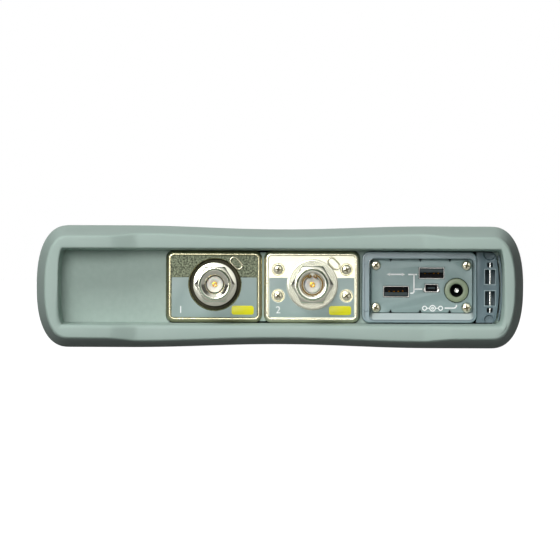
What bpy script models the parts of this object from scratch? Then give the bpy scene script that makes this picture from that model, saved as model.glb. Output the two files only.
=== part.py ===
"""A handheld antenna analyzer, lying on its back with its display up.

The connector end faces -Y, the width runs along X and the height along Z. The origin is on
the surface that the instrument lies on, below the middle of its outline. Lengths are metres.
"""

import math

import bmesh
import bpy
from mathutils import Matrix, Vector

# General clearances
FIT_GAP = 0.0003
CUT_OVERRUN = 0.002
MERGE_DISTANCE = FIT_GAP / 30
SHARP_ANGLE_DEG = 35.0

# Rubber bumper, outside
BODY_WIDTH = 0.250
BODY_DEPTH = 0.177
BODY_HEIGHT = 0.0626
WAIST_DROP = 0.0018
WAIST_SHARE = 0.616
SIDE_BULGE = 0.017
SIDE_POWER = 2.4
SIDE_STEPS = 12

# Flared lip round the connector end, lower in its middle
LIP_SIDE_INSET = 0.0033
LIP_FACE_INSET = 0.0056
LIP_MIDDLE_RISE = 0.0014
LIP_FLARE_LENGTH = 0.0265
LIP_FLARE_POWER = 1.6
LIP_SIDE_BAND = 0.0072
LIP_FACE_BAND = 0.0058
LIP_ROUNDING = 0.0012
LIP_CORNER_SHARE = 0.3
LIP_DIP = 0.006
DIP_OUTER_SHARE = 0.704
DIP_INNER_SHARE = 0.592
EDGE_SHARES = (DIP_OUTER_SHARE, DIP_INNER_SHARE, 0.48, 0.36, 0.24, 0.12)
OPENING_BULGE = 0.004
OPENING_POWER = 2.6
BAY_DRAFT = 0.0011

# Foot end
FOOT_SIDE_INSET = 0.009
FOOT_FACE_INSET = 0.0085
FOOT_ROUND_LENGTH = 0.018
FLARE_STEPS = 4

# Space for the housing inside the bumper
BUMPER_WALL = 0.0075
BUMPER_SKIN = 0.004
CAVITY_RADIUS = 0.006
WINDOW_SIDE_RIM = 0.0225
WINDOW_HEAD_RIM = 0.0325
WINDOW_FOOT_RIM = 0.0215
WINDOW_RADIUS = 0.012

# Two-part housing
BAY_DEPTH = 0.0225
CASE_WALL = 0.0022
PANEL_SINK = 0.0012
CASE_RADIUS = 0.004

# Floor of the connector bay
CONNECTOR_PANEL_THICKNESS = 0.003
CONNECTOR_PANEL_LAP = 0.0008
CONNECTOR_PANEL_RADIUS = 0.003

# Cast radio port housings
PORT_WIDTH = 0.0492
PORT_MARGIN = 0.0015
PORT_GAP = 0.0008
PORT_PROUD = 0.0033
PORT_LENGTH = 0.033
PORT_RADIUS = 0.0039
PORT_CHAMFER = 0.0009
PORT_FRAME = 0.0019
PORT_FACE_SINK = 0.0006
PORT_FACE_RADIUS = 0.0024
WELL_RADIUS = 0.0131
WELL_DEPTH = 0.0035
SLOT_BOSS_LENGTH = 0.008
SLOT_BOSS_WIDTH = 0.0046
SLOT_BOSS_HEIGHT = 0.001
SLOT_DISTANCE = 0.0154
SLOT_LENGTH = 0.0048
SLOT_WIDTH = 0.0018
SLOT_DEPTH = 0.002
SLOT_TURN_DEG = -45.0
PORT_SCREW_RECESS = 0.0031
PORT_SCREW_SINK = 0.0004
PORT_SCREW_SIDE = 0.0175
PORT_SCREW_UP = 0.00775
PORT_SCREW_DOWN = 0.0057

# Type N sockets
SOCKET_RISE = 0.0012
SOCKET_SHIFT = 0.0003
SOCKET_REACH = 0.015
SOCKET_STUB_RADIUS = 0.0075
SOCKET_STUB_LENGTH = 0.012
BARREL_RADIUS = 0.0079
BARREL_CHAMFER = 0.0006
BARREL_BORE = 0.0059
BARREL_BORE_DEPTH = 0.009
NUT_RADIUS_1 = 0.0113
FLANGE_HEIGHT_1 = 0.0006
HEX_FLATS_1 = 0.0179
HEX_HEIGHT_1 = 0.0039
INNER_STEP_RADIUS_1 = 0.0047
INNER_STEP_DEPTH_1 = 0.003
NUT_RADIUS_2 = 0.0131
FLANGE_HEIGHT_2 = 0.0012
HEX_FLATS_2 = 0.019
HEX_HEIGHT_2 = 0.0038
HEX_CHAMFER = 0.0009
INSULATOR_RADIUS = 0.0042
INSULATOR_DEPTH = 0.0045
INSULATOR_TAIL = 0.010
CONTACT_RADIUS = 0.0016
CONTACT_BORE = 0.0008
CONTACT_BORE_DEPTH = 0.006
CONTACT_TAIL = 0.009
CONTACT_PROUD = 0.0006
RING_WALL = 0.0006
RING_THICKNESS = 0.0009
RING_DEPTH = 0.0015
RING_SPLIT = 0.0022
RING_EAR_RADIUS = 0.00085
RING_EAR_HOLE = 0.0004
RING_EAR_SPREAD_DEG = 19.0

# Data and power socket bay
IO_WIDTH = 0.0588
IO_MARGIN = 0.0017
IO_GAP = 0.0012
IO_PROUD = 0.0045
IO_LENGTH = 0.019
IO_RADIUS = 0.0042
IO_RIM = 0.0042
IO_RIM_RIGHT = 0.0016
IO_RIM_TOP = 0.0036
IO_RIM_FOOT = 0.0024
IO_WELL_RADIUS = 0.0028
IO_FLOOR_DRAFT = 0.0028
IO_SIDE_DRAFT = 0.0006
IO_WELL_DEPTH = 0.0052
IO_GROOVE_INSET = 0.0009
IO_GROOVE_WIDTH = 0.0005
IO_GROOVE_DEPTH = 0.0016
IO_LEDGE = 0.0018
PLATE_THICKNESS = 0.0015
PLATE_NOTCH_WIDTH = 0.0016
PLATE_NOTCH_DEPTH = 0.0012
PLATE_NOTCH_SHARES = (0.205, 0.492, 0.78)

# Sockets, placed from the lower left corner of the socket plate
USB_A_WIDTH = 0.0131
USB_A_HEIGHT = 0.0057
USB_WALL = 0.0004
USB_LENGTH = 0.0135
USB_PROUD = 0.0003
USB_TONGUE_HEIGHT = 0.0018
USB_TONGUE_SINK = 0.0008
USB_A_1_SHARES = (0.246, 0.39)
USB_A_2_SHARES = (0.596, 0.735)
USB_MINI_GAP = 0.0027
DC_JACK_SHARES = (0.844, 0.417)
USB_MINI_WIDTH = 0.0082
USB_MINI_HEIGHT = 0.0042
USB_MINI_TONGUE_WIDTH = 0.0038
USB_MINI_TONGUE_HEIGHT = 0.0009
USB_MINI_OUTLINE_SHARES = ((0.84, 1.0), (0.84, 0.5), (1.0, -0.2), (1.0, -0.7), (0.86, -1.0))
DC_RING_RADIUS = 0.0061
DC_RING_PROUD = 0.0009
DC_BORE_RADIUS = 0.0033
DC_BORE_DEPTH = 0.009
DC_BODY_LENGTH = 0.0135
DC_EDGE = 0.0003
DC_PIN_RADIUS = 0.0012
DC_PIN_SINK = 0.0012
DC_PIN_POINT = 0.0004

# Hinge of the socket cover, beside the socket bay
HINGE_BLOCK_WIDTH = 0.0116
HINGE_WALL_GAP = 0.0008
HINGE_STEPS = 6
HINGE_PROUD = 0.003
HINGE_PIN_RADIUS = 0.0007
HINGE_PIN_FROM_LEFT = 0.0069
HINGE_PIN_SINK = 0.0021
HINGE_PIN_SHARE = 0.78
HINGE_WINDOW_DEPTH = 0.0042
HINGE_LONG_WIDTH = 0.0052
HINGE_LONG_SHARES = (0.1, 0.505)
HINGE_SMALL_WIDTH = 0.0029
HINGE_SMALL_SHARES = (0.571, 0.703)
HINGE_CUP_RADIUS = 0.0028
HINGE_CUP_DEPTH = 0.0016

# Display
PANEL_MARGIN = 0.006
GLASS_THICKNESS = 0.0015
GLASS_SINK = 0.0002
GLASS_RADIUS = 0.002
GLASS_LEDGE = 0.004
MODULE_THICKNESS = 0.006

# Keys and knob
KEY_ZONE_WIDTH = 0.045
KNOB_ZONE_DEPTH = 0.044
FUNCTION_ROW_DEPTH = 0.013
KEY_GAP_X = 0.003
KEY_GAP_Y = 0.004
KEY_CLEARANCE = 0.0004
KEY_RADIUS = 0.0022
KEY_RADIUS_LIMIT_SHARE = 0.42
KEY_TOP_ROUNDING = 0.0006
KEY_PROUD = 0.0012
KEY_FLANGE = 0.0008
KEY_FLANGE_THICKNESS = 0.0008
KEY_TRAVEL = 0.0008
ARROW_LONG = 0.0105
ARROW_SHORT = 0.0052
ARROW_DISTANCE = 0.0192
POWER_KEY_SHARE = 0.45
KNOB_RADIUS = 0.0125
KNOB_HEIGHT = 0.0052
KNOB_ROUNDING = 0.0012
KNOB_DIMPLE_RADIUS = 0.0044
KNOB_DIMPLE_FLOOR_RADIUS = 0.0025
KNOB_DIMPLE_DEPTH = 0.001
KNOB_DIMPLE_DISTANCE = 0.0073
DISH_CLEARANCE = 0.0012
DISH_DEPTH = 0.0038
DISH_WALL = 0.0018
SHAFT_RADIUS = 0.003
SHAFT_LENGTH = 0.0062
ENCODER_WIDTH = 0.0125
ENCODER_HEIGHT = 0.006
MAT_THICKNESS = 0.0012
MAT_WALL = 0.0012
MAT_MARGIN = 0.0016

# Circuit board
BOARD_THICKNESS = 0.0016
BOARD_LIFT = 0.0015
BOARD_MARGIN = 0.014
BOARD_HOLE_RADIUS = 0.0016
POST_RADIUS = 0.0035
POST_INSET = 0.007
SHIELD_HEIGHT = 0.005
SHIELD_WIDTH_SHARE = 0.2
SHIELD_DEPTH_SHARE = 0.4

# Battery and its door
PACK_WIDTH_SHARE = 0.62
PACK_THICKNESS = 0.0195
PACK_RADIUS = 0.004
BATTERY_WALL = 0.0018
DOOR_THICKNESS = 0.002
DOOR_LAP = 0.003
DOOR_RADIUS = 0.002
DOOR_GRIP_LENGTH = 0.022
DOOR_GRIP_COUNT = 3
DOOR_GRIP_PITCH = 0.0015
DOOR_GRIP_WIDTH = 0.00075
DOOR_GRIP_DEPTH = 0.0008
DOOR_GRIP_MARGIN = 0.003
BATTERY_FOOT_MARGIN = 0.006
BATTERY_DEPTH_SHARE = 0.4

# Folding stand
STAND_WIDTH_SHARE = 0.5
STAND_DEPTH_SHARE = 0.33
STAND_HEAD_MARGIN = 0.008
STAND_THICKNESS = 0.0026
STAND_BARREL_RADIUS = 0.0021
STAND_SIDE_GAP = 0.0006
STAND_BAR_WIDTH = 0.012
STAND_PIN_RADIUS = 0.001
STAND_PIN_SEAT = 0.002
STAND_SCOOP_SHARE = 0.65
STAND_FLOOR_WALL = 0.0018

# Places that follow from the sizes above
HALF_WIDTH = BODY_WIDTH / 2
HALF_DEPTH = BODY_DEPTH / 2
MID_Z = BODY_HEIGHT / 2
LIP_Y = -HALF_DEPTH
FOOT_Y = HALF_DEPTH
BAY_FLOOR_Y = LIP_Y + BAY_DEPTH
OPENING_HALF_WIDTH = HALF_WIDTH - LIP_SIDE_INSET - LIP_SIDE_BAND
OPENING_HALF_HEIGHT = MID_Z - LIP_FACE_INSET - LIP_FACE_BAND
OPENING_FLAT_HALF_WIDTH = OPENING_HALF_WIDTH - OPENING_BULGE

CAVITY_LOW = (-HALF_WIDTH + BUMPER_WALL, BAY_FLOOR_Y, BUMPER_SKIN)
CAVITY_HIGH = (HALF_WIDTH - BUMPER_WALL, FOOT_Y - BUMPER_WALL, BODY_HEIGHT - BUMPER_SKIN)
WINDOW_LOW_X = -HALF_WIDTH + WINDOW_SIDE_RIM
WINDOW_HIGH_X = HALF_WIDTH - WINDOW_SIDE_RIM
WINDOW_LOW_Y = LIP_Y + WINDOW_HEAD_RIM
WINDOW_HIGH_Y = FOOT_Y - WINDOW_FOOT_RIM
FRONT_Z = BODY_HEIGHT - WAIST_DROP - PANEL_SINK
BACK_Z = WAIST_DROP + PANEL_SINK
CASE_INNER_TOP = CAVITY_HIGH[2] - FIT_GAP - CASE_WALL
CASE_INNER_FLOOR = CAVITY_LOW[2] + FIT_GAP + CASE_WALL
CASE_INNER_LOW_X = CAVITY_LOW[0] + FIT_GAP + CASE_WALL
CASE_INNER_HIGH_X = CAVITY_HIGH[0] - FIT_GAP - CASE_WALL
CASE_INNER_HIGH_Y = CAVITY_HIGH[1] - FIT_GAP - CASE_WALL

IO_HALF_HEIGHT = OPENING_HALF_HEIGHT - IO_MARGIN
PORT_HALF_HEIGHT = OPENING_HALF_HEIGHT - PORT_MARGIN
IO_HIGH_X = OPENING_FLAT_HALF_WIDTH + OPENING_BULGE / 2 - HINGE_BLOCK_WIDTH
IO_LOW_X = IO_HIGH_X - IO_WIDTH
PORT_2_X = IO_LOW_X - IO_GAP - PORT_WIDTH / 2
PORT_1_X = PORT_2_X - PORT_WIDTH - PORT_GAP
PORT_FRONT_Y = BAY_FLOOR_Y - PORT_PROUD
PORT_FACE_Y = PORT_FRONT_Y + PORT_FACE_SINK
IO_FRONT_Y = BAY_FLOOR_Y - IO_PROUD
IO_PLATE_Y = IO_FRONT_Y + IO_WELL_DEPTH
PLATE_LOW_X = IO_LOW_X + IO_RIM + IO_SIDE_DRAFT
PLATE_HIGH_X = IO_HIGH_X - IO_RIM_RIGHT - IO_SIDE_DRAFT
PLATE_LOW_Z = MID_Z - IO_HALF_HEIGHT + IO_RIM_FOOT + IO_FLOOR_DRAFT
PLATE_HIGH_Z = MID_Z + IO_HALF_HEIGHT - IO_RIM_TOP
HINGE_FRONT_Y = BAY_FLOOR_Y - HINGE_PROUD
HINGE_PIN_X = IO_HIGH_X + HINGE_PIN_FROM_LEFT
HINGE_PIN_Y = HINGE_FRONT_Y + HINGE_PIN_SINK
HINGE_PIN_HALF_LENGTH = IO_HALF_HEIGHT * HINGE_PIN_SHARE
SOCKET_Z = MID_Z + SOCKET_RISE

GLASS_LOW_X = WINDOW_LOW_X + PANEL_MARGIN + KEY_ZONE_WIDTH + PANEL_MARGIN
GLASS_HIGH_X = WINDOW_HIGH_X - PANEL_MARGIN
GLASS_LOW_Y = WINDOW_LOW_Y + PANEL_MARGIN
GLASS_HIGH_Y = WINDOW_HIGH_Y - PANEL_MARGIN - FUNCTION_ROW_DEPTH - PANEL_MARGIN
KEYS_LOW_X = WINDOW_LOW_X + PANEL_MARGIN
KEYS_HIGH_X = KEYS_LOW_X + KEY_ZONE_WIDTH
KEYS_LOW_Y = GLASS_LOW_Y + KNOB_ZONE_DEPTH
KEYS_HIGH_Y = WINDOW_HIGH_Y - PANEL_MARGIN
KNOB_X = (KEYS_LOW_X + KEYS_HIGH_X) / 2
KNOB_Y = GLASS_LOW_Y + KNOB_ZONE_DEPTH / 2
DISH_FLOOR_Z = FRONT_Z - DISH_DEPTH
KEY_FLANGE_TOP = CASE_INNER_TOP - FIT_GAP
KEY_BOTTOM = KEY_FLANGE_TOP - KEY_FLANGE_THICKNESS
MAT_TOP = KEY_BOTTOM - KEY_TRAVEL - FIT_GAP

BOARD_Z = MID_Z + BOARD_LIFT
BOARD_LOW = (CASE_INNER_LOW_X + BOARD_MARGIN, PORT_FRONT_Y + PORT_LENGTH + CUT_OVERRUN, BOARD_Z)
BOARD_HIGH = (CASE_INNER_HIGH_X - BOARD_MARGIN, CASE_INNER_HIGH_Y - CUT_OVERRUN, BOARD_Z + BOARD_THICKNESS)

WINDOW_DEPTH = WINDOW_HIGH_Y - WINDOW_LOW_Y
PACK_HALF_WIDTH = (WINDOW_HIGH_X - WINDOW_LOW_X) * PACK_WIDTH_SHARE / 2
PACK_HIGH_Y = WINDOW_HIGH_Y - BATTERY_FOOT_MARGIN - DOOR_LAP
PACK_LOW_Y = PACK_HIGH_Y - WINDOW_DEPTH * BATTERY_DEPTH_SHARE
PACK_LOW_Z = BACK_Z + DOOR_THICKNESS + FIT_GAP
STAND_HALF_WIDTH = (WINDOW_HIGH_X - WINDOW_LOW_X) * STAND_WIDTH_SHARE / 2
STAND_AXIS_Y = WINDOW_LOW_Y + STAND_HEAD_MARGIN + STAND_BARREL_RADIUS
STAND_AXIS_Z = BACK_Z + FIT_GAP + STAND_BARREL_RADIUS
STAND_END_Y = STAND_AXIS_Y + WINDOW_DEPTH * STAND_DEPTH_SHARE
STAND_RECESS_TOP = STAND_AXIS_Z + STAND_BARREL_RADIUS + STAND_SIDE_GAP


def clear_scene():
    for obj in list(bpy.data.objects):
        bpy.data.objects.remove(obj, do_unlink=True)


def new_collection(name):
    collection = bpy.data.collections.new(name)
    bpy.context.scene.collection.children.link(collection)
    return collection


clear_scene()
PARTS = new_collection("antenna_analyzer")
CUTTERS = new_collection("cutters")
CUTTERS.hide_render = True


def make_material(name, colour, roughness, metallic=0.0):
    material = bpy.data.materials.new(name)
    material.use_nodes = True
    shader = material.node_tree.nodes["Principled BSDF"]
    shader.inputs["Base Color"].default_value = (*colour, 1.0)
    shader.inputs["Roughness"].default_value = roughness
    shader.inputs["Metallic"].default_value = metallic
    return material


FINISHES = {
    "rubber": ((0.36, 0.44, 0.40), 0.6, 0.0),
    "panel_plastic": ((0.33, 0.41, 0.38), 0.55, 0.0),
    "case_plastic": ((0.18, 0.22, 0.22), 0.5, 0.0),
    "bay_plastic": ((0.12, 0.15, 0.17), 0.45, 0.0),
    "plate_plastic": ((0.20, 0.27, 0.27), 0.5, 0.0),
    "nickel": ((0.75, 0.74, 0.66), 0.25, 1.0),
    "steel": ((0.70, 0.70, 0.68), 0.3, 1.0),
    "gold": ((0.83, 0.60, 0.23), 0.25, 1.0),
    "spring_bronze": ((0.32, 0.22, 0.08), 0.35, 1.0),
    "ptfe": ((0.86, 0.86, 0.83), 0.5, 0.0),
    "black_plastic": ((0.02, 0.02, 0.022), 0.45, 0.0),
    "olive_plastic": ((0.21, 0.23, 0.12), 0.5, 0.0),
    "glass": ((0.01, 0.012, 0.015), 0.08, 0.0),
    "key_rubber": ((0.24, 0.26, 0.27), 0.6, 0.0),
    "board": ((0.02, 0.12, 0.06), 0.5, 0.0),
}
MATERIALS = {name: make_material(name, *values) for name, values in FINISHES.items()}


def place(name, mesh, finish, origin=(0, 0, 0)):
    """Puts a mesh in the scene: a part when it has a finish, and a cutter when it has none."""
    obj = bpy.data.objects.new(name, mesh)
    obj.location = origin
    if finish is None:
        CUTTERS.objects.link(obj)
        obj.hide_render = True
        obj.display_type = "WIRE"
    else:
        PARTS.objects.link(obj)
        mesh.materials.append(MATERIALS[finish])
    return obj


def mesh_from(bm, name, origin=(0, 0, 0)):
    bmesh.ops.translate(bm, verts=bm.verts, vec=-Vector(origin))
    mesh = bpy.data.meshes.new(name)
    bm.to_mesh(mesh)
    bm.free()
    return mesh


def face_outwards(bm):
    bmesh.ops.recalc_face_normals(bm, faces=bm.faces)
    if bm.calc_volume(signed=True) < 0:
        bmesh.ops.reverse_faces(bm, faces=bm.faces)


def edges_along(bm, axes):
    """The edges of a block that run along the named axes."""
    chosen = []
    for edge in bm.edges:
        run = edge.verts[1].co - edge.verts[0].co
        longest = max(range(3), key=lambda i: abs(run[i]))
        if "XYZ"[longest] in axes:
            chosen.append(edge)
    return chosen


def edges_at(bm, axis, value):
    """The edges that lie in the plane where one coordinate has this value."""
    return [e for e in bm.edges if all(abs(v.co[axis] - value) < MERGE_DISTANCE for v in e.verts)]


def round_edges(bm, edges, radius, steps):
    bmesh.ops.bevel(
        bm, geom=edges, offset=radius, offset_type="OFFSET", segments=steps, profile=0.5,
        affect="EDGES", clamp_overlap=True,
    )


def block_form(low, high, radius=0.0, along="Y", steps=3):
    """A block between two corners, with the edges that run along the named axes rounded."""
    low = Vector(low)
    high = Vector(high)
    bm = bmesh.new()
    bmesh.ops.create_cube(bm, size=1.0)
    bmesh.ops.scale(bm, vec=high - low, verts=bm.verts)
    bmesh.ops.translate(bm, vec=(low + high) / 2, verts=bm.verts)
    if radius > 0:
        round_edges(bm, edges_along(bm, along), radius, steps)
    return bm


def block(name, low, high, finish=None, radius=0.0, along="Y", steps=3, origin=(0, 0, 0)):
    return place(name, mesh_from(block_form(low, high, radius, along, steps), name, origin), finish, origin)


def rod(name, start, length, radius, axis="Y", finish=None, sides=24, end_radius=None, half_turn=False):
    """A cylinder or cone from a start point along one axis; a negative length runs backwards."""
    bm = bmesh.new()
    bmesh.ops.create_cone(
        bm, cap_ends=True, segments=sides, radius1=radius,
        radius2=radius if end_radius is None else end_radius, depth=abs(length),
    )
    if half_turn:
        spin = Matrix.Rotation(math.pi / sides, 3, "Z")
        bmesh.ops.rotate(bm, verts=bm.verts, matrix=spin)
    direction = Vector([1.0 if letter == axis else 0.0 for letter in "XYZ"]) * math.copysign(1, length)
    turn = Vector((0, 0, 1)).rotation_difference(direction).to_matrix()
    bmesh.ops.rotate(bm, verts=bm.verts, matrix=turn)
    bmesh.ops.translate(bm, verts=bm.verts, vec=Vector(start) + direction * abs(length) / 2)
    return place(name, mesh_from(bm, name), finish)


def turned(name, profile, centre, finish=None, sides=32, closed=False, facing="front"):
    """A turned shape from (radius, height) points; height runs towards -Y, or up for facing="up"."""
    mesh = bpy.data.meshes.new(name)
    points = [(radius, 0, height) for radius, height in profile]
    edges = [(i, i + 1) for i in range(len(points) - 1)]
    if closed:
        edges.append((len(points) - 1, 0))
    mesh.from_pydata(points, edges, [])
    obj = place(name, mesh, finish, centre)
    if facing == "front":
        obj.rotation_euler = (math.radians(90), 0, 0)
    screw = obj.modifiers.new("turn", "SCREW")
    screw.steps = sides
    screw.render_steps = sides
    screw.use_merge_vertices = True
    screw.merge_threshold = MERGE_DISTANCE
    screw.use_smooth_shade = True
    return obj


def outline_prism(name, points, low_y, high_y, finish=None):
    """A flat outline of (x, z) points, made thick along Y from a filled 2D curve."""
    curve = bpy.data.curves.new(name, "CURVE")
    curve.dimensions = "2D"
    curve.fill_mode = "BOTH"
    curve.extrude = (high_y - low_y) / 2
    spline = curve.splines.new("POLY")
    spline.points.add(len(points) - 1)
    for point, (x, z) in zip(spline.points, points):
        point.co = (x, z, 0, 1)
    spline.use_cyclic_u = True
    guide = bpy.data.objects.new(name + "_guide", curve)
    CUTTERS.objects.link(guide)
    bpy.context.view_layer.update()
    evaluated = guide.evaluated_get(bpy.context.evaluated_depsgraph_get())
    bm = bmesh.new()
    bm.from_mesh(bpy.data.meshes.new_from_object(evaluated))
    bpy.data.objects.remove(guide, do_unlink=True)
    bmesh.ops.remove_doubles(bm, verts=bm.verts, dist=MERGE_DISTANCE)
    for vert in bm.verts:
        x, z, depth = vert.co
        vert.co = (x, (low_y + high_y) / 2 + depth, z)
    face_outwards(bm)
    return place(name, mesh_from(bm, name), finish)


def rounded_outline(centre_x, centre_z, length, width, turn_deg, steps=6):
    """The (x, z) points of a slot with round ends, turned by an angle about Y."""
    turn = math.radians(turn_deg)
    points = []
    for end in (1, -1):
        for step in range(steps + 1):
            angle = math.pi * (step / steps - 0.5) + (0 if end > 0 else math.pi)
            u = end * (length - width) / 2 + math.cos(angle) * width / 2
            v = math.sin(angle) * width / 2
            x = u * math.cos(turn) - v * math.sin(turn)
            z = u * math.sin(turn) + v * math.cos(turn)
            points.append((centre_x + x, centre_z + z))
    return points


def boolean(target, other, operation):
    modifier = target.modifiers.new(other.name, "BOOLEAN")
    modifier.operation = operation
    modifier.solver = "EXACT"
    modifier.object = other


def cut(target, *others):
    for other in others:
        boolean(target, other, "DIFFERENCE")


def join(target, *others):
    for other in others:
        boolean(target, other, "UNION")


def shrunk(low, high, amount):
    """A box moved in by an amount on every side."""
    return [value + amount for value in low], [value - amount for value in high]


def waist_at(x, drop):
    shoulder = HALF_WIDTH * WAIST_SHARE
    if abs(x) >= shoulder:
        return 0.0
    return drop * (1 + math.cos(math.pi * x / shoulder)) / 2


def dip_at(x):
    """How far back the middle of the lip lies behind its ends."""
    outer = HALF_WIDTH * DIP_OUTER_SHARE
    inner = HALF_WIDTH * DIP_INNER_SHARE
    return LIP_DIP * min(1.0, max(0.0, (outer - abs(x)) / (outer - inner)))


def body_section(half_width, half_height, bulge, power, drop):
    """The (x, z) points of one section, with bulging sides and a waist above and below."""
    side = []
    for step in range(SIDE_STEPS + 1):
        angle = math.pi * (0.5 - step / SIDE_STEPS)
        out = math.copysign(abs(math.cos(angle)) ** (2 / power), 1)
        rise = math.copysign(abs(math.sin(angle)) ** (2 / power), math.sin(angle))
        side.append((half_width - bulge + bulge * out, half_height * rise))
    shares = list(EDGE_SHARES) + [0.0] + [-share for share in reversed(EDGE_SHARES)]
    edge = [(share * HALF_WIDTH, half_height - waist_at(share * HALF_WIDTH, drop)) for share in shares]
    right = [(x, MID_Z + z) for x, z in side]
    below = [(x, MID_Z - z) for x, z in edge]
    left = [(-x, MID_Z - z) for x, z in side]
    above = [(-x, MID_Z + z) for x, z in edge]
    return right + below + left + above


def outer_ring(y, side_inset, face_inset, bulge, drop, dip_share):
    """One ring of the outside; where the lip dips back, its upper and lower edges also stand further out."""
    points = body_section(HALF_WIDTH - side_inset, MID_Z - face_inset, bulge, SIDE_POWER, drop)
    ring = []
    for x, z in points:
        dip = dip_at(x)
        rise = math.copysign(LIP_MIDDLE_RISE * dip / LIP_DIP * dip_share, z - MID_Z)
        ring.append((x, y + dip * dip_share, z + rise))
    return ring


def opening_ring(y, grow, dip_share):
    points = body_section(
        OPENING_HALF_WIDTH + grow, OPENING_HALF_HEIGHT + grow, OPENING_BULGE, OPENING_POWER, 0.0
    )
    return [(x, y + dip_at(x) * dip_share, z) for x, z in points]


def bumper_rings():
    """The rings of the bumper's outside, over the lip, and down the walls of the connector bay."""
    rings = []
    for step in range(FLARE_STEPS, -1, -1):
        angle = math.pi / 2 * step / FLARE_STEPS
        share = 1 - math.cos(angle)
        y = FOOT_Y - FOOT_ROUND_LENGTH * (1 - math.sin(angle))
        bulge = SIDE_BULGE - FOOT_SIDE_INSET * share / 2
        rings.append(
            outer_ring(y, FOOT_SIDE_INSET * share, FOOT_FACE_INSET * share, bulge, WAIST_DROP, 0.0)
        )
    for step in range(FLARE_STEPS + 1):
        share = (step / FLARE_STEPS) ** LIP_FLARE_POWER
        y = LIP_Y + LIP_ROUNDING + (LIP_FLARE_LENGTH - LIP_ROUNDING) * (1 - step / FLARE_STEPS)
        side = (LIP_SIDE_INSET - LIP_ROUNDING / 4) * share
        face = (LIP_FACE_INSET - LIP_ROUNDING / 4) * share
        bulge = SIDE_BULGE - LIP_FACE_INSET * share
        dip = max(0.0, 2 * step / FLARE_STEPS - 1)
        rings.append(outer_ring(y, side, face, bulge, WAIST_DROP, dip))
    lip_bulge = SIDE_BULGE - LIP_FACE_INSET
    for inward_share, back_share in ((LIP_CORNER_SHARE, LIP_CORNER_SHARE), (1.0, 0.0)):
        inset = LIP_ROUNDING * inward_share
        rings.append(
            outer_ring(
                LIP_Y + LIP_ROUNDING * back_share, LIP_SIDE_INSET + inset, LIP_FACE_INSET + inset,
                lip_bulge, WAIST_DROP, 1.0,
            )
        )
    for outward_share, back_share in ((1.0, 0.0), (LIP_CORNER_SHARE, LIP_CORNER_SHARE), (0.0, 1.0)):
        rings.append(opening_ring(LIP_Y + LIP_ROUNDING * back_share, LIP_ROUNDING * outward_share, 1.0))
    rings.append(opening_ring(BAY_FLOOR_Y + CUT_OVERRUN, -BAY_DRAFT, 0.0))
    return rings


def loft(name, rings, finish):
    """One closed skin over a row of rings that have the same number of points."""
    bm = bmesh.new()
    rows = [[bm.verts.new(point) for point in ring] for ring in rings]
    count = len(rows[0])
    for near, far in zip(rows, rows[1:]):
        for i in range(count):
            j = (i + 1) % count
            bm.faces.new((near[i], near[j], far[j], far[i]))
    bm.faces.new(rows[0])
    bm.faces.new(rows[-1])
    face_outwards(bm)
    return place(name, mesh_from(bm, name), finish)


def window_block(name, low_z, high_z, gap):
    low = (WINDOW_LOW_X + gap, WINDOW_LOW_Y + gap, low_z)
    high = (WINDOW_HIGH_X - gap, WINDOW_HIGH_Y - gap, high_z)
    return block(name, low, high, radius=WINDOW_RADIUS, along="Z", steps=6)


def make_bumper():
    bumper = loft("bumper", bumper_rings(), "rubber")
    cavity = block("bumper_cavity", CAVITY_LOW, CAVITY_HIGH, radius=CAVITY_RADIUS, along="Y", steps=4)
    windows = window_block("bumper_windows", -CUT_OVERRUN, BODY_HEIGHT + CUT_OVERRUN, 0.0)
    cut(bumper, cavity, windows)


def case_shell(name, side):
    """One half of the housing: the upper half for side 1 and the lower half for side -1."""
    low, high = shrunk(CAVITY_LOW, CAVITY_HIGH, FIT_GAP)
    shell = block(name, low, high, "case_plastic", CAVITY_RADIUS, "Y", 4)
    if side > 0:
        face = window_block(name + "_face", MID_Z, FRONT_Z, FIT_GAP)
        waste_low, waste_high = -CUT_OVERRUN, MID_Z + FIT_GAP / 2
    else:
        face = window_block(name + "_face", BACK_Z, MID_Z, FIT_GAP)
        waste_low, waste_high = MID_Z - FIT_GAP / 2, BODY_HEIGHT + CUT_OVERRUN
    inner_low, inner_high = shrunk(low, high, CASE_WALL)
    hollow = block(name + "_hollow", inner_low, inner_high, None, CASE_RADIUS, "Y", 3)
    waste_corner = (-BODY_WIDTH, -BODY_DEPTH, waste_low)
    waste = block(name + "_waste", waste_corner, (BODY_WIDTH, BODY_DEPTH, waste_high))
    mouth_low, mouth_high = connector_panel_box(FIT_GAP)
    mouth_low[1] -= CUT_OVERRUN
    mouth_high[1] += CUT_OVERRUN
    mouth = block(name + "_mouth", mouth_low, mouth_high, None, CONNECTOR_PANEL_RADIUS, "Y", 3)
    join(shell, face)
    cut(shell, hollow, waste, mouth)
    return shell


def connector_panel_box(grow):
    half_width = OPENING_HALF_WIDTH + CONNECTOR_PANEL_LAP + grow
    half_height = OPENING_HALF_HEIGHT + CONNECTOR_PANEL_LAP + grow
    low_y = BAY_FLOOR_Y + FIT_GAP
    return (
        [-half_width, low_y, MID_Z - half_height],
        [half_width, low_y + CONNECTOR_PANEL_THICKNESS, MID_Z + half_height],
    )


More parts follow.
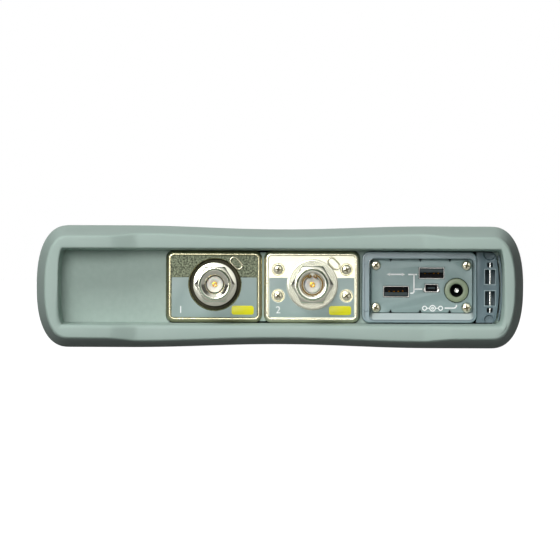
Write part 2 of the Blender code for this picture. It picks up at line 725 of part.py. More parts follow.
def make_connector_panel():
    low, high = connector_panel_box(0.0)
    panel = block("connector_panel", low, high, "panel_plastic", CONNECTOR_PANEL_RADIUS, "Y", 3)
    ports_low = port_box(PORT_1_X, FIT_GAP)[0]
    ports_high = port_box(PORT_2_X, FIT_GAP)[1]
    cut(panel, block("panel_ports", ports_low, ports_high, None, PORT_RADIUS, "Y", 4))
    bay_low, bay_high = io_box(FIT_GAP)
    cut(panel, block("panel_io", bay_low, bay_high, None, IO_RADIUS, "Y", 4))
    cut(panel, outline_prism("panel_hinge", hinge_outline(FIT_GAP), bay_low[1], bay_high[1]))


def port_box(x, grow):
    half_width = PORT_WIDTH / 2 + grow
    half_height = PORT_HALF_HEIGHT + grow
    return (
        [x - half_width, PORT_FRONT_Y, MID_Z - half_height],
        [x + half_width, PORT_FRONT_Y + PORT_LENGTH, MID_Z + half_height],
    )


def io_box(grow):
    half_height = IO_HALF_HEIGHT + grow
    return (
        [IO_LOW_X - grow, IO_FRONT_Y, MID_Z - half_height],
        [IO_HIGH_X + grow, IO_FRONT_Y + IO_LENGTH, MID_Z + half_height],
    )


def bay_side_x(z, shrink):
    """How far out the side wall of the opening stands at a height, when drawn in by an amount."""
    share = min(1.0, abs(z - MID_Z) / (OPENING_HALF_HEIGHT - shrink))
    bow = (1 - share ** OPENING_POWER) ** (1 / OPENING_POWER)
    return OPENING_FLAT_HALF_WIDTH - shrink + OPENING_BULGE * bow


def hinge_outline(grow):
    """The hinge block starts inside the socket bay, so that they join, and follows the bowed wall."""
    half_height = IO_HALF_HEIGHT + grow
    left = IO_HIGH_X - IO_RADIUS
    points = [(left, MID_Z - half_height)]
    for step in range(HINGE_STEPS + 1):
        z = MID_Z + half_height * (2 * step / HINGE_STEPS - 1)
        points.append((bay_side_x(z, BAY_DRAFT + HINGE_WALL_GAP - grow), z))
    points.append((left, MID_Z + half_height))
    return points


def make_port_housing(number, x):
    """A cast housing with a framed face, a slot boss, and a well or screw recesses."""
    name = f"rf_port_housing_{number}"
    low, high = port_box(x, 0.0)
    bm = block_form(low, high, PORT_RADIUS, "Y", 4)
    round_edges(bm, edges_at(bm, 1, PORT_FRONT_Y), PORT_CHAMFER, 1)
    housing = place(name, mesh_from(bm, name), "nickel")
    face_low = (low[0] + PORT_FRAME, PORT_FRONT_Y - CUT_OVERRUN, low[2] + PORT_FRAME)
    face_high = (high[0] - PORT_FRAME, PORT_FACE_Y, high[2] - PORT_FRAME)
    cut(housing, block(name + "_face", face_low, face_high, None, PORT_FACE_RADIUS, "Y", 3))
    socket_x = x + SOCKET_SHIFT
    boss_x = socket_x + SLOT_DISTANCE * math.cos(math.radians(SLOT_TURN_DEG))
    boss_z = SOCKET_Z - SLOT_DISTANCE * math.sin(math.radians(SLOT_TURN_DEG))
    boss_outline = rounded_outline(boss_x, boss_z, SLOT_BOSS_LENGTH, SLOT_BOSS_WIDTH, SLOT_TURN_DEG)
    boss_front = PORT_FACE_Y - SLOT_BOSS_HEIGHT
    join(housing, outline_prism(name + "_boss", boss_outline, boss_front, PORT_FACE_Y + CUT_OVERRUN))
    slot_outline = rounded_outline(boss_x, boss_z, SLOT_LENGTH, SLOT_WIDTH, SLOT_TURN_DEG)
    slot_end = boss_front + SLOT_DEPTH
    cut(housing, outline_prism(name + "_slot", slot_outline, boss_front - CUT_OVERRUN, slot_end))
    if number == 1:
        well_start = (socket_x, PORT_FRONT_Y - CUT_OVERRUN, SOCKET_Z)
        well_length = PORT_FACE_SINK + CUT_OVERRUN + WELL_DEPTH
        cut(housing, rod(name + "_well", well_start, well_length, WELL_RADIUS, sides=36))
    else:
        for index, (screw_x, screw_z) in enumerate(port_screw_places(x)):
            start = (screw_x, PORT_FRONT_Y - CUT_OVERRUN, screw_z)
            length = PORT_FACE_SINK + CUT_OVERRUN + PORT_SCREW_SINK
            cut(housing, rod(f"{name}_recess_{index}", start, length, PORT_SCREW_RECESS, sides=20))
    bore_start = (socket_x, PORT_FACE_Y - CUT_OVERRUN, SOCKET_Z)
    bore_length = CUT_OVERRUN + WELL_DEPTH + SOCKET_STUB_LENGTH + FIT_GAP
    cut(housing, rod(name + "_bore", bore_start, bore_length, SOCKET_STUB_RADIUS + FIT_GAP, sides=32))


def port_screw_places(x):
    places = []
    for side in (-1, 1):
        for rise in (PORT_SCREW_UP, -PORT_SCREW_DOWN):
            places.append((x + SOCKET_SHIFT + side * PORT_SCREW_SIDE, SOCKET_Z + rise))
    return places


def chamfered_nut(name, centre, base, flats, height):
    """A hexagon with its front corners turned to a cone, points to the left and right."""
    nut = rod(name, (centre[0], centre[1] - base, centre[2]), -height, flats / math.sqrt(3), sides=6)
    nut_cone = rod(
        name + "_cone", (centre[0], centre[1] - base + CUT_OVERRUN, centre[2]),
        -(height + CUT_OVERRUN), flats / math.sqrt(3) + HEX_CHAMFER + CUT_OVERRUN,
        end_radius=flats / 2 - HEX_CHAMFER / 2, sides=30, half_turn=True,
    )
    boolean(nut, nut_cone, "INTERSECT")
    return nut


def make_rf_connector(number, x):
    """A type N socket: flange, hexagon and barrel turned round one axis, with its bore."""
    name = f"rf_connector_{number}"
    centre = (x + SOCKET_SHIFT, PORT_FACE_Y, SOCKET_Z)
    if number == 1:
        flange_radius, flange_top = NUT_RADIUS_1, FLANGE_HEIGHT_1
        flange_base = -WELL_DEPTH + FIT_GAP
        flats, hex_height = HEX_FLATS_1, HEX_HEIGHT_1
        inner_radius, inner_top = INNER_STEP_RADIUS_1, SOCKET_REACH - INNER_STEP_DEPTH_1
    else:
        flange_radius, flange_top = NUT_RADIUS_2, FLANGE_HEIGHT_2
        flange_base = FIT_GAP
        flats, hex_height = HEX_FLATS_2, HEX_HEIGHT_2
        inner_radius, inner_top = INSULATOR_RADIUS + FIT_GAP, SOCKET_REACH - BARREL_BORE_DEPTH
    stub_base = -(WELL_DEPTH + SOCKET_STUB_LENGTH)
    profile = [
        (0, SOCKET_REACH),
        (BARREL_RADIUS - BARREL_CHAMFER, SOCKET_REACH),
        (BARREL_RADIUS, SOCKET_REACH - BARREL_CHAMFER),
        (BARREL_RADIUS, flange_top),
        (flange_radius - BARREL_CHAMFER, flange_top),
        (flange_radius, flange_top - BARREL_CHAMFER / 2),
        (flange_radius, flange_base),
        (SOCKET_STUB_RADIUS, flange_base),
        (SOCKET_STUB_RADIUS, stub_base),
        (0, stub_base),
    ]
    connector = turned(name, profile, centre, "nickel", sides=32)
    join(connector, chamfered_nut(name + "_hex", centre, flange_top - CUT_OVERRUN / 4, flats, hex_height))
    bore = [
        (0, SOCKET_REACH + CUT_OVERRUN),
        (BARREL_BORE + BARREL_CHAMFER + CUT_OVERRUN, SOCKET_REACH + CUT_OVERRUN),
        (BARREL_BORE, SOCKET_REACH - BARREL_CHAMFER),
        (BARREL_BORE, inner_top),
        (inner_radius, inner_top),
        (inner_radius, SOCKET_REACH - BARREL_BORE_DEPTH),
        (INSULATOR_RADIUS + FIT_GAP, SOCKET_REACH - BARREL_BORE_DEPTH),
        (INSULATOR_RADIUS + FIT_GAP, stub_base - CUT_OVERRUN),
        (0, stub_base - CUT_OVERRUN),
    ]
    if number == 2:
        del bore[4:6]
    cut(connector, turned(name + "_bore", bore, centre, sides=28))


def make_socket_core(number, x):
    """The insulator and the centre contact of one type N socket."""
    centre = (x + SOCKET_SHIFT, PORT_FACE_Y, SOCKET_Z)
    insulator_top = SOCKET_REACH - INSULATOR_DEPTH
    hole_radius = CONTACT_RADIUS + FIT_GAP
    insulator = [
        (hole_radius, insulator_top),
        (INSULATOR_RADIUS, insulator_top),
        (INSULATOR_RADIUS, -INSULATOR_TAIL),
        (hole_radius, -INSULATOR_TAIL),
    ]
    turned(f"rf_insulator_{number}", insulator, centre, "ptfe", sides=24, closed=True)
    contact_top = insulator_top + CONTACT_PROUD
    contact = [
        (0, contact_top - CONTACT_BORE_DEPTH),
        (CONTACT_BORE, contact_top - CONTACT_BORE_DEPTH),
        (CONTACT_BORE, contact_top),
        (CONTACT_RADIUS - CONTACT_PROUD / 2, contact_top),
        (CONTACT_RADIUS, contact_top - CONTACT_PROUD / 2),
        (CONTACT_RADIUS, -CONTACT_TAIL),
        (0, -CONTACT_TAIL),
    ]
    turned(f"rf_contact_{number}", contact, centre, "gold", sides=16)


def make_retaining_ring(x):
    """A split spring ring with two eyelets, seated in the bore of the right socket."""
    centre = (x + SOCKET_SHIFT, PORT_FACE_Y, SOCKET_Z)
    outer = BARREL_BORE - FIT_GAP
    top = SOCKET_REACH - RING_DEPTH
    base = top - RING_THICKNESS
    profile = [(outer - RING_WALL, top), (outer, top), (outer, base), (outer - RING_WALL, base)]
    ring = turned("rf_retaining_ring", profile, centre, "spring_bronze", sides=36, closed=True)
    back_y = PORT_FACE_Y - base
    ear_reach = outer - RING_EAR_RADIUS
    ears = []
    for side in (-1, 1):
        angle = math.radians(90 + side * RING_EAR_SPREAD_DEG)
        ear_x = centre[0] + math.cos(angle) * ear_reach
        ear_z = SOCKET_Z + math.sin(angle) * ear_reach
        ears.append((side, ear_x, ear_z))
    split_low = (centre[0] - RING_SPLIT / 2, PORT_FACE_Y - top - CUT_OVERRUN, SOCKET_Z)
    split_high = (centre[0] + RING_SPLIT / 2, back_y + CUT_OVERRUN, SOCKET_Z + BARREL_RADIUS)
    cut(ring, block("ring_split", split_low, split_high))
    for side, ear_x, ear_z in ears:
        start = (ear_x, back_y, ear_z)
        join(ring, rod(f"ring_ear_{side}", start, -RING_THICKNESS, RING_EAR_RADIUS, sides=14))
    for side, ear_x, ear_z in ears:
        start = (ear_x, back_y + CUT_OVERRUN, ear_z)
        length = -(RING_THICKNESS + 2 * CUT_OVERRUN)
        cut(ring, rod(f"ring_eye_{side}", start, length, RING_EAR_HOLE, sides=10))


def well_cutter():
    """The drafted well of the socket bay: its foot wall slopes most, and its floor takes the plate."""
    front = IO_FRONT_Y - CUT_OVERRUN
    low = (PLATE_LOW_X, front, PLATE_LOW_Z)
    high = (PLATE_HIGH_X, IO_PLATE_Y + PLATE_THICKNESS + FIT_GAP, PLATE_HIGH_Z)
    bm = block_form(low, high, IO_WELL_RADIUS, "Y", 4)
    spread = (IO_WELL_DEPTH + CUT_OVERRUN) / IO_WELL_DEPTH
    middle_x = (PLATE_LOW_X + PLATE_HIGH_X) / 2
    middle_z = (PLATE_LOW_Z + PLATE_HIGH_Z) / 2
    for vert in bm.verts:
        side = math.copysign(1, vert.co.x - middle_x)
        grow = FIT_GAP if vert.co.y > IO_PLATE_Y else FIT_GAP + IO_SIDE_DRAFT * spread
        vert.co.x += side * grow
        if vert.co.z > middle_z:
            vert.co.z += FIT_GAP
        elif vert.co.y > IO_PLATE_Y:
            vert.co.z -= FIT_GAP
        else:
            vert.co.z -= FIT_GAP + IO_FLOOR_DRAFT * spread
    return place("io_well", mesh_from(bm, "io_well"), None)


def make_io_bay():
    """The moulded socket bay with its double rim, and beside it the block that holds the hinge pin."""
    low, high = io_box(0.0)
    bay = block("io_bay", low, high, "bay_plastic", IO_RADIUS, "Y", 4)
    hinge_end = HINGE_FRONT_Y + IO_LENGTH
    join(bay, outline_prism("io_hinge_block", hinge_outline(0.0), HINGE_FRONT_Y, hinge_end))
    groove_low, groove_high = shrunk(low, high, IO_GROOVE_INSET)
    groove_low[1] = IO_FRONT_Y - CUT_OVERRUN
    groove_high[1] = IO_FRONT_Y + IO_GROOVE_DEPTH
    groove = block("io_groove", groove_low, groove_high, None, IO_RADIUS - IO_GROOVE_INSET, "Y", 4)
    core_low, core_high = shrunk(groove_low, groove_high, IO_GROOVE_WIDTH)
    core_low[1] = groove_low[1] - CUT_OVERRUN
    core_high[1] = groove_high[1] + CUT_OVERRUN
    core_radius = IO_RADIUS - IO_GROOVE_INSET - IO_GROOVE_WIDTH
    cut(groove, block("io_groove_core", core_low, core_high, None, core_radius, "Y", 4))
    cut(bay, groove, well_cutter())
    shaft_low = (PLATE_LOW_X + IO_LEDGE, IO_FRONT_Y, PLATE_LOW_Z + IO_LEDGE)
    shaft_high = (PLATE_HIGH_X - IO_LEDGE, IO_FRONT_Y + IO_LENGTH + CUT_OVERRUN, PLATE_HIGH_Z - IO_LEDGE)
    cut(bay, block("io_shaft", shaft_low, shaft_high))
    for number, shares in ((1, USB_A_1_SHARES), (2, USB_A_2_SHARES)):
        socket_low, socket_high = usb_a_box(shares, FIT_GAP)
        cut(bay, block(f"io_usb_a_{number}", socket_low, socket_high))
    jack_x, jack_z = plate_place(DC_JACK_SHARES)
    jack_start = (jack_x, IO_PLATE_Y, jack_z)
    cut(bay, rod("io_jack", jack_start, DC_BODY_LENGTH, DC_RING_RADIUS + FIT_GAP, sides=32))
    for side in (-1, 1):
        for width, shares in ((HINGE_LONG_WIDTH, HINGE_LONG_SHARES), (HINGE_SMALL_WIDTH, HINGE_SMALL_SHARES)):
            ends = sorted(MID_Z + side * share * IO_HALF_HEIGHT for share in shares)
            window_low = (HINGE_PIN_X - width / 2, HINGE_FRONT_Y - CUT_OVERRUN, ends[0])
            window_high = (HINGE_PIN_X + width / 2, HINGE_FRONT_Y + HINGE_WINDOW_DEPTH, ends[1])
            cut(bay, block(f"io_hinge_window_{side}_{shares[0]}", window_low, window_high))
    pin_start = (HINGE_PIN_X, HINGE_PIN_Y, MID_Z - HINGE_PIN_HALF_LENGTH - FIT_GAP)
    pin_length = 2 * (HINGE_PIN_HALF_LENGTH + FIT_GAP)
    cut(bay, rod("io_pin_bore", pin_start, pin_length, HINGE_PIN_RADIUS + FIT_GAP, "Z", sides=16))
    cup_z = MID_Z + IO_HALF_HEIGHT
    cup_start = (HINGE_PIN_X, HINGE_FRONT_Y - CUT_OVERRUN, cup_z)
    cut(bay, rod("io_hinge_cup", cup_start, CUT_OVERRUN + HINGE_CUP_DEPTH, HINGE_CUP_RADIUS, sides=24))
    return bay


def make_hinge_pin():
    start = (HINGE_PIN_X, HINGE_PIN_Y, MID_Z - HINGE_PIN_HALF_LENGTH)
    rod("door_hinge_pin", start, 2 * HINGE_PIN_HALF_LENGTH, HINGE_PIN_RADIUS, "Z", "steel", 16)


def plate_place(shares):
    """A place on the socket plate, as shares of its width and height."""
    width = PLATE_HIGH_X - PLATE_LOW_X
    height = PLATE_HIGH_Z - PLATE_LOW_Z
    return PLATE_LOW_X + shares[0] * width, PLATE_LOW_Z + shares[1] * height


def mini_place():
    """The small data socket stands below the upper full-size one."""
    x, z = plate_place(USB_A_2_SHARES)
    return x, z - (USB_A_HEIGHT + USB_MINI_HEIGHT) / 2 - USB_MINI_GAP


def mini_outline(centre, grow):
    """The outline of the small data socket: narrow above, wide in the middle, drawn in below."""
    half_width = USB_MINI_WIDTH / 2 + grow
    half_height = USB_MINI_HEIGHT / 2 + grow
    right = [
        (centre[0] + across * half_width, centre[1] + up * half_height)
        for across, up in USB_MINI_OUTLINE_SHARES
    ]
    left = [(2 * centre[0] - x, z) for x, z in reversed(right)]
    return right + left


def make_io_plate():
    low = (PLATE_LOW_X, IO_PLATE_Y, PLATE_LOW_Z)
    high = (PLATE_HIGH_X, IO_PLATE_Y + PLATE_THICKNESS, PLATE_HIGH_Z)
    plate = block("io_plate", low, high, "plate_plastic", IO_WELL_RADIUS, "Y", 4)
    front = IO_PLATE_Y - CUT_OVERRUN
    back = IO_PLATE_Y + PLATE_THICKNESS + CUT_OVERRUN
    for number, shares in ((1, USB_A_1_SHARES), (2, USB_A_2_SHARES)):
        hole_low, hole_high = usb_a_box(shares, FIT_GAP)
        hole_low[1] = front
        hole_high[1] = back
        cut(plate, block(f"plate_usb_a_{number}", hole_low, hole_high))
    mini = mini_place()
    cut(plate, outline_prism("plate_usb_mini", mini_outline(mini, FIT_GAP), front, back))
    jack_x, jack_z = plate_place(DC_JACK_SHARES)
    cut(plate, rod("plate_jack", (jack_x, front, jack_z), back - front, DC_RING_RADIUS + FIT_GAP, sides=32))
    for index, share in enumerate(PLATE_NOTCH_SHARES):
        notch_x = PLATE_LOW_X + share * (PLATE_HIGH_X - PLATE_LOW_X)
        for edge_z, inward in ((PLATE_LOW_Z, 1), (PLATE_HIGH_Z, -1)):
            outline = [
                (notch_x - PLATE_NOTCH_WIDTH / 2, edge_z),
                (notch_x, edge_z + inward * PLATE_NOTCH_DEPTH),
                (notch_x + PLATE_NOTCH_WIDTH / 2, edge_z),
                (notch_x + PLATE_NOTCH_WIDTH / 2, edge_z - inward * CUT_OVERRUN),
                (notch_x - PLATE_NOTCH_WIDTH / 2, edge_z - inward * CUT_OVERRUN),
            ]
            cut(plate, outline_prism(f"plate_notch_{index}_{inward}", outline, front, back))


def usb_a_box(shares, grow):
    x, z = plate_place(shares)
    half_width = USB_A_WIDTH / 2 + grow
    half_height = USB_A_HEIGHT / 2 + grow
    front = IO_PLATE_Y - USB_PROUD
    return [x - half_width, front, z - half_height], [x + half_width, front + USB_LENGTH, z + half_height]


def make_usb_a(number, shares, tongue_side):
    """A full-size data socket: a drawn steel shell and, above or below its middle, the tongue."""
    low, high = usb_a_box(shares, 0.0)
    shell = block(f"usb_a_shell_{number}", low, high, "steel", USB_WALL, "Y", 2)
    inner_low, inner_high = shrunk(low, high, USB_WALL)
    inner_low[1] = low[1] - CUT_OVERRUN
    cut(shell, block(f"usb_a_inner_{number}", inner_low, inner_high))
    x, z = plate_place(shares)
    inner_half_height = USB_A_HEIGHT / 2 - USB_WALL
    tongue_middle = z + tongue_side * (inner_half_height - FIT_GAP - USB_TONGUE_HEIGHT / 2)
    half_width = USB_A_WIDTH / 2 - USB_WALL - FIT_GAP
    tongue_low = (x - half_width, low[1] + USB_TONGUE_SINK, tongue_middle - USB_TONGUE_HEIGHT / 2)
    tongue_high = (x + half_width, inner_high[1] - FIT_GAP, tongue_middle + USB_TONGUE_HEIGHT / 2)
    block(f"usb_a_tongue_{number}", tongue_low, tongue_high, "black_plastic")


def make_usb_mini():
    centre = mini_place()
    front = IO_PLATE_Y - USB_PROUD
    back = front + USB_LENGTH / 2
    shell = outline_prism("usb_mini_shell", mini_outline(centre, 0.0), front, back, "steel")
    inner = mini_outline(centre, -USB_WALL)
    cut(shell, outline_prism("usb_mini_inner", inner, front - CUT_OVERRUN, back - USB_WALL))
    tongue_low = (
        centre[0] - USB_MINI_TONGUE_WIDTH / 2, front + USB_TONGUE_SINK,
        centre[1] - USB_MINI_TONGUE_HEIGHT / 2,
    )
    tongue_high = (
        centre[0] + USB_MINI_TONGUE_WIDTH / 2, back - USB_WALL - FIT_GAP,
        centre[1] + USB_MINI_TONGUE_HEIGHT / 2,
    )
    block("usb_mini_tongue", tongue_low, tongue_high, "black_plastic")


def make_dc_jack():
    x, z = plate_place(DC_JACK_SHARES)
    centre = (x, IO_PLATE_Y, z)
    back = DC_RING_PROUD - DC_BODY_LENGTH
    floor = DC_RING_PROUD - DC_BORE_DEPTH
    body = [
        (0, floor),
        (DC_BORE_RADIUS, floor),
        (DC_BORE_RADIUS, DC_RING_PROUD - DC_EDGE),
        (DC_BORE_RADIUS + DC_EDGE, DC_RING_PROUD),
        (DC_RING_RADIUS - DC_EDGE, DC_RING_PROUD),
        (DC_RING_RADIUS, DC_RING_PROUD - DC_EDGE),
        (DC_RING_RADIUS, back),
        (0, back),
    ]
    turned("dc_jack_body", body, centre, "olive_plastic", sides=32)
    pin_top = DC_RING_PROUD - DC_PIN_SINK
    pin = [
        (0, pin_top),
        (DC_PIN_RADIUS - DC_PIN_POINT, pin_top),
        (DC_PIN_RADIUS, pin_top - DC_PIN_POINT),
        (DC_PIN_RADIUS, floor + FIT_GAP),
        (0, floor + FIT_GAP),
    ]
    turned("dc_jack_pin", pin, centre, "steel", sides=16)


def key_grid():
    """Name, middle and size of every key, from the rows and columns of the front."""
    keys = []
    rows = (
        ("escape", "shift", "enter"),
        ("digit_7", "digit_8", "digit_9"),
        ("digit_4", "digit_5", "digit_6"),
        ("digit_1", "digit_2", "digit_3"),
        ("digit_0", "point", "sign"),
    )
    pitch_x = KEY_ZONE_WIDTH / len(rows[0])
    pitch_y = (KEYS_HIGH_Y - KEYS_LOW_Y) / len(rows)
    for row, names in enumerate(rows):
        y = KEYS_LOW_Y + (row + 0.5) * pitch_y
        for column, name in enumerate(names):
            x = KEYS_HIGH_X - (column + 0.5) * pitch_x
            keys.append((name, x, y, pitch_x - KEY_GAP_X, pitch_y - KEY_GAP_Y))
    keys.append(("up", KNOB_X, KNOB_Y - ARROW_DISTANCE, ARROW_LONG, ARROW_SHORT))
    keys.append(("down", KNOB_X, KNOB_Y + ARROW_DISTANCE, ARROW_LONG, ARROW_SHORT))
    keys.append(("left", KNOB_X + ARROW_DISTANCE, KNOB_Y, ARROW_SHORT, ARROW_LONG))
    keys.append(("right", KNOB_X - ARROW_DISTANCE, KNOB_Y, ARROW_SHORT, ARROW_LONG))
    row_names = ("power", "function_1", "function_2", "function_3", "function_4")
    pitch = (GLASS_HIGH_X - GLASS_LOW_X) / len(row_names)
    row_y = WINDOW_HIGH_Y - PANEL_MARGIN - FUNCTION_ROW_DEPTH / 2
    for index, name in enumerate(row_names):
        x = GLASS_HIGH_X - (index + 0.5) * pitch
        width = pitch * POWER_KEY_SHARE if name == "power" else pitch - 2 * KEY_GAP_X
        keys.append((name, x, row_y, width, FUNCTION_ROW_DEPTH - KEY_GAP_Y))
    return keys


def key_radius(width, depth):
    return min(KEY_RADIUS, KEY_RADIUS_LIMIT_SHARE * min(width, depth))


def key_hole(name, x, y, width, depth):
    half_width = width / 2 + KEY_CLEARANCE
    half_depth = depth / 2 + KEY_CLEARANCE
    low = (x - half_width, y - half_depth, CASE_INNER_TOP - CUT_OVERRUN)
    high = (x + half_width, y + half_depth, FRONT_Z + CUT_OVERRUN)
    return block(f"hole_{name}", low, high, None, key_radius(width, depth) + KEY_CLEARANCE, "Z", 2)


def make_key(name, x, y, width, depth):
    """A key cap with a rounded top and, under the panel, the flange that keeps it in."""
    node = "key_" + name
    top = FRONT_Z + KEY_PROUD
    origin = (x, y, KEY_BOTTOM)
    low = (x - width / 2, y - depth / 2, KEY_BOTTOM)
    high = (x + width / 2, y + depth / 2, top)
    bm = block_form(low, high, key_radius(width, depth), "Z", 2)
    round_edges(bm, edges_at(bm, 2, top), KEY_TOP_ROUNDING, 1)
    key = place(node, mesh_from(bm, node, origin), "key_rubber", origin)
    flange_low = (low[0] - KEY_FLANGE, low[1] - KEY_FLANGE, KEY_BOTTOM)
    flange_high = (high[0] + KEY_FLANGE, high[1] + KEY_FLANGE, KEY_FLANGE_TOP)
    join(key, block(node + "_flange", flange_low, flange_high))


def make_front_case():
    front = case_shell("front_case", 1)
    dish_radius = KNOB_RADIUS + DISH_CLEARANCE
    cup_base = DISH_FLOOR_Z - DISH_WALL
    cup_start = (KNOB_X, KNOB_Y, cup_base)
    cup_length = CASE_INNER_TOP - cup_base + CASE_WALL / 2
    join(front, rod("knob_cup", cup_start, cup_length, dish_radius + DISH_WALL, "Z", sides=36))
    dish_start = (KNOB_X, KNOB_Y, DISH_FLOOR_Z)
    cut(front, rod("knob_dish", dish_start, DISH_DEPTH + CUT_OVERRUN, dish_radius, "Z", sides=36))
    hole_start = (KNOB_X, KNOB_Y, cup_base - CUT_OVERRUN)
    hole_length = DISH_WALL + 2 * CUT_OVERRUN
    cut(front, rod("knob_shaft_hole", hole_start, hole_length, SHAFT_RADIUS + FIT_GAP, "Z", sides=20))
    for key in key_grid():
        cut(front, key_hole(*key))
    seat_low = (GLASS_LOW_X, GLASS_LOW_Y, FRONT_Z - GLASS_SINK - GLASS_THICKNESS - FIT_GAP)
    seat_high = (GLASS_HIGH_X, GLASS_HIGH_Y, FRONT_Z + CUT_OVERRUN)
    cut(front, block("glass_seat", seat_low, seat_high, None, GLASS_RADIUS, "Z", 3))
    view_low = (GLASS_LOW_X + GLASS_LEDGE, GLASS_LOW_Y + GLASS_LEDGE, CASE_INNER_TOP - CUT_OVERRUN)
    view_high = (GLASS_HIGH_X - GLASS_LEDGE, GLASS_HIGH_Y - GLASS_LEDGE, FRONT_Z)
    cut(front, block("display_opening", view_low, view_high))


def make_display():
    top = FRONT_Z - GLASS_SINK
    bottom = top - GLASS_THICKNESS
    low = (GLASS_LOW_X + FIT_GAP, GLASS_LOW_Y + FIT_GAP, bottom)
    high = (GLASS_HIGH_X - FIT_GAP, GLASS_HIGH_Y - FIT_GAP, top)
    block("display_window", low, high, "glass", GLASS_RADIUS, "Z", 3)
    inset = GLASS_LEDGE + FIT_GAP
    module_low = (GLASS_LOW_X + inset, GLASS_LOW_Y + inset, bottom - FIT_GAP - MODULE_THICKNESS)
    module_high = (GLASS_HIGH_X - inset, GLASS_HIGH_Y - inset, bottom - FIT_GAP)
    block("display_module", module_low, module_high, "steel")


def make_keypad_mat():
    """Two joined trays of rubber under the keys, whose walls reach up to the front panel."""
    wall_top = CASE_INNER_TOP - FIT_GAP
    bottom = MAT_TOP - MAT_THICKNESS
    column_low = (KEYS_LOW_X - MAT_MARGIN, KNOB_Y - ARROW_DISTANCE - ARROW_SHORT, bottom)
    column_high = (KEYS_HIGH_X + MAT_MARGIN, KEYS_HIGH_Y + MAT_MARGIN, wall_top)
    row_low = (KEYS_HIGH_X, GLASS_HIGH_Y + PANEL_MARGIN - MAT_MARGIN, bottom)
    row_high = (GLASS_HIGH_X, KEYS_HIGH_Y + MAT_MARGIN, wall_top)
    mat = block("keypad_mat", column_low, column_high, "key_rubber")
    join(mat, block("mat_row", row_low, row_high))
    for name, low, high in (("column", column_low, column_high), ("row", row_low, row_high)):
        inner_low, inner_high = shrunk(low, high, MAT_WALL)
        inner_low[2] = MAT_TOP
        inner_high[2] = wall_top + CUT_OVERRUN
        cut(mat, block(f"mat_{name}_inner", inner_low, inner_high))
    hole_radius = KNOB_RADIUS + DISH_CLEARANCE + DISH_WALL + FIT_GAP
    hole_start = (KNOB_X, KNOB_Y, bottom - CUT_OVERRUN)
    hole_length = MAT_THICKNESS + 2 * CUT_OVERRUN
    cut(mat, rod("mat_hole", hole_start, hole_length, hole_radius, "Z", sides=32))


def make_knob():
    """A low turned knob with a finger dimple, open below for its shaft."""
    bottom = DISH_FLOOR_Z + FIT_GAP
    bore_top = SHAFT_LENGTH - DISH_WALL
    profile = [
        (0, KNOB_HEIGHT),
        (KNOB_RADIUS - KNOB_ROUNDING, KNOB_HEIGHT),
        (KNOB_RADIUS - KNOB_ROUNDING / 4, KNOB_HEIGHT - KNOB_ROUNDING / 4),
        (KNOB_RADIUS, KNOB_HEIGHT - KNOB_ROUNDING),
        (KNOB_RADIUS, 0),
        (SHAFT_RADIUS + FIT_GAP, 0),
        (SHAFT_RADIUS + FIT_GAP, bore_top - FIT_GAP),
        (0, bore_top - FIT_GAP),
    ]
    knob = turned("rotary_knob", profile, (KNOB_X, KNOB_Y, bottom), "case_plastic", 40, facing="up")
    dimple_start = (KNOB_X, KNOB_Y - KNOB_DIMPLE_DISTANCE, bottom + KNOB_HEIGHT - KNOB_DIMPLE_DEPTH)
    spread = (KNOB_DIMPLE_DEPTH + CUT_OVERRUN) / KNOB_DIMPLE_DEPTH
    open_radius = KNOB_DIMPLE_FLOOR_RADIUS + (KNOB_DIMPLE_RADIUS - KNOB_DIMPLE_FLOOR_RADIUS) * spread
    dimple = rod(
        "knob_dimple", dimple_start, KNOB_DIMPLE_DEPTH + CUT_OVERRUN, KNOB_DIMPLE_FLOOR_RADIUS, "Z",
        sides=20, end_radius=open_radius,
    )
    cut(knob, dimple)


def make_encoder():
    top = DISH_FLOOR_Z - DISH_WALL - FIT_GAP
    half = ENCODER_WIDTH / 2
    low = (KNOB_X - half, KNOB_Y - half, top - ENCODER_HEIGHT)
    high = (KNOB_X + half, KNOB_Y + half, top)
    encoder = block("rotary_encoder", low, high, "steel")
    shaft_start = (KNOB_X, KNOB_Y, top - CUT_OVERRUN)
    shaft_length = SHAFT_LENGTH - FIT_GAP + CUT_OVERRUN
    join(encoder, rod("encoder_shaft", shaft_start, shaft_length, SHAFT_RADIUS, "Z", sides=20))


def post_places():
    return [
        (x, y)
        for x in (BOARD_LOW[0] + POST_INSET, BOARD_HIGH[0] - POST_INSET)
        for y in (BOARD_LOW[1] + POST_INSET, BOARD_HIGH[1] - POST_INSET)
    ]


def make_board():
    """The main board, with its screw holes and the shield cans of its radio section."""
    board = block("main_board", BOARD_LOW, BOARD_HIGH, "board", POST_RADIUS, "Z", 2)
    width = (BOARD_HIGH[0] - BOARD_LOW[0]) * SHIELD_WIDTH_SHARE
    depth = (BOARD_HIGH[1] - BOARD_LOW[1]) * SHIELD_DEPTH_SHARE
    for index, x in enumerate((PORT_1_X, PORT_2_X)):
        low = (x - width / 2, BOARD_LOW[1] + POST_RADIUS, BOARD_HIGH[2] - BOARD_THICKNESS / 2)
        high = (x + width / 2, BOARD_LOW[1] + POST_RADIUS + depth, BOARD_HIGH[2] + SHIELD_HEIGHT)
        join(board, block(f"shield_{index}", low, high))
    for index, (x, y) in enumerate(post_places()):
        start = (x, y, BOARD_Z - CUT_OVERRUN)
        length = BOARD_THICKNESS + 2 * CUT_OVERRUN
        cut(board, rod(f"board_hole_{index}", start, length, BOARD_HOLE_RADIUS, "Z", sides=12))


def stand_recess_box():
    gap = STAND_SIDE_GAP
    return (
        [-STAND_HALF_WIDTH - gap, STAND_AXIS_Y - STAND_BARREL_RADIUS - gap, BACK_Z - CUT_OVERRUN],
        [STAND_HALF_WIDTH + gap, STAND_END_Y + gap, STAND_RECESS_TOP],
    )


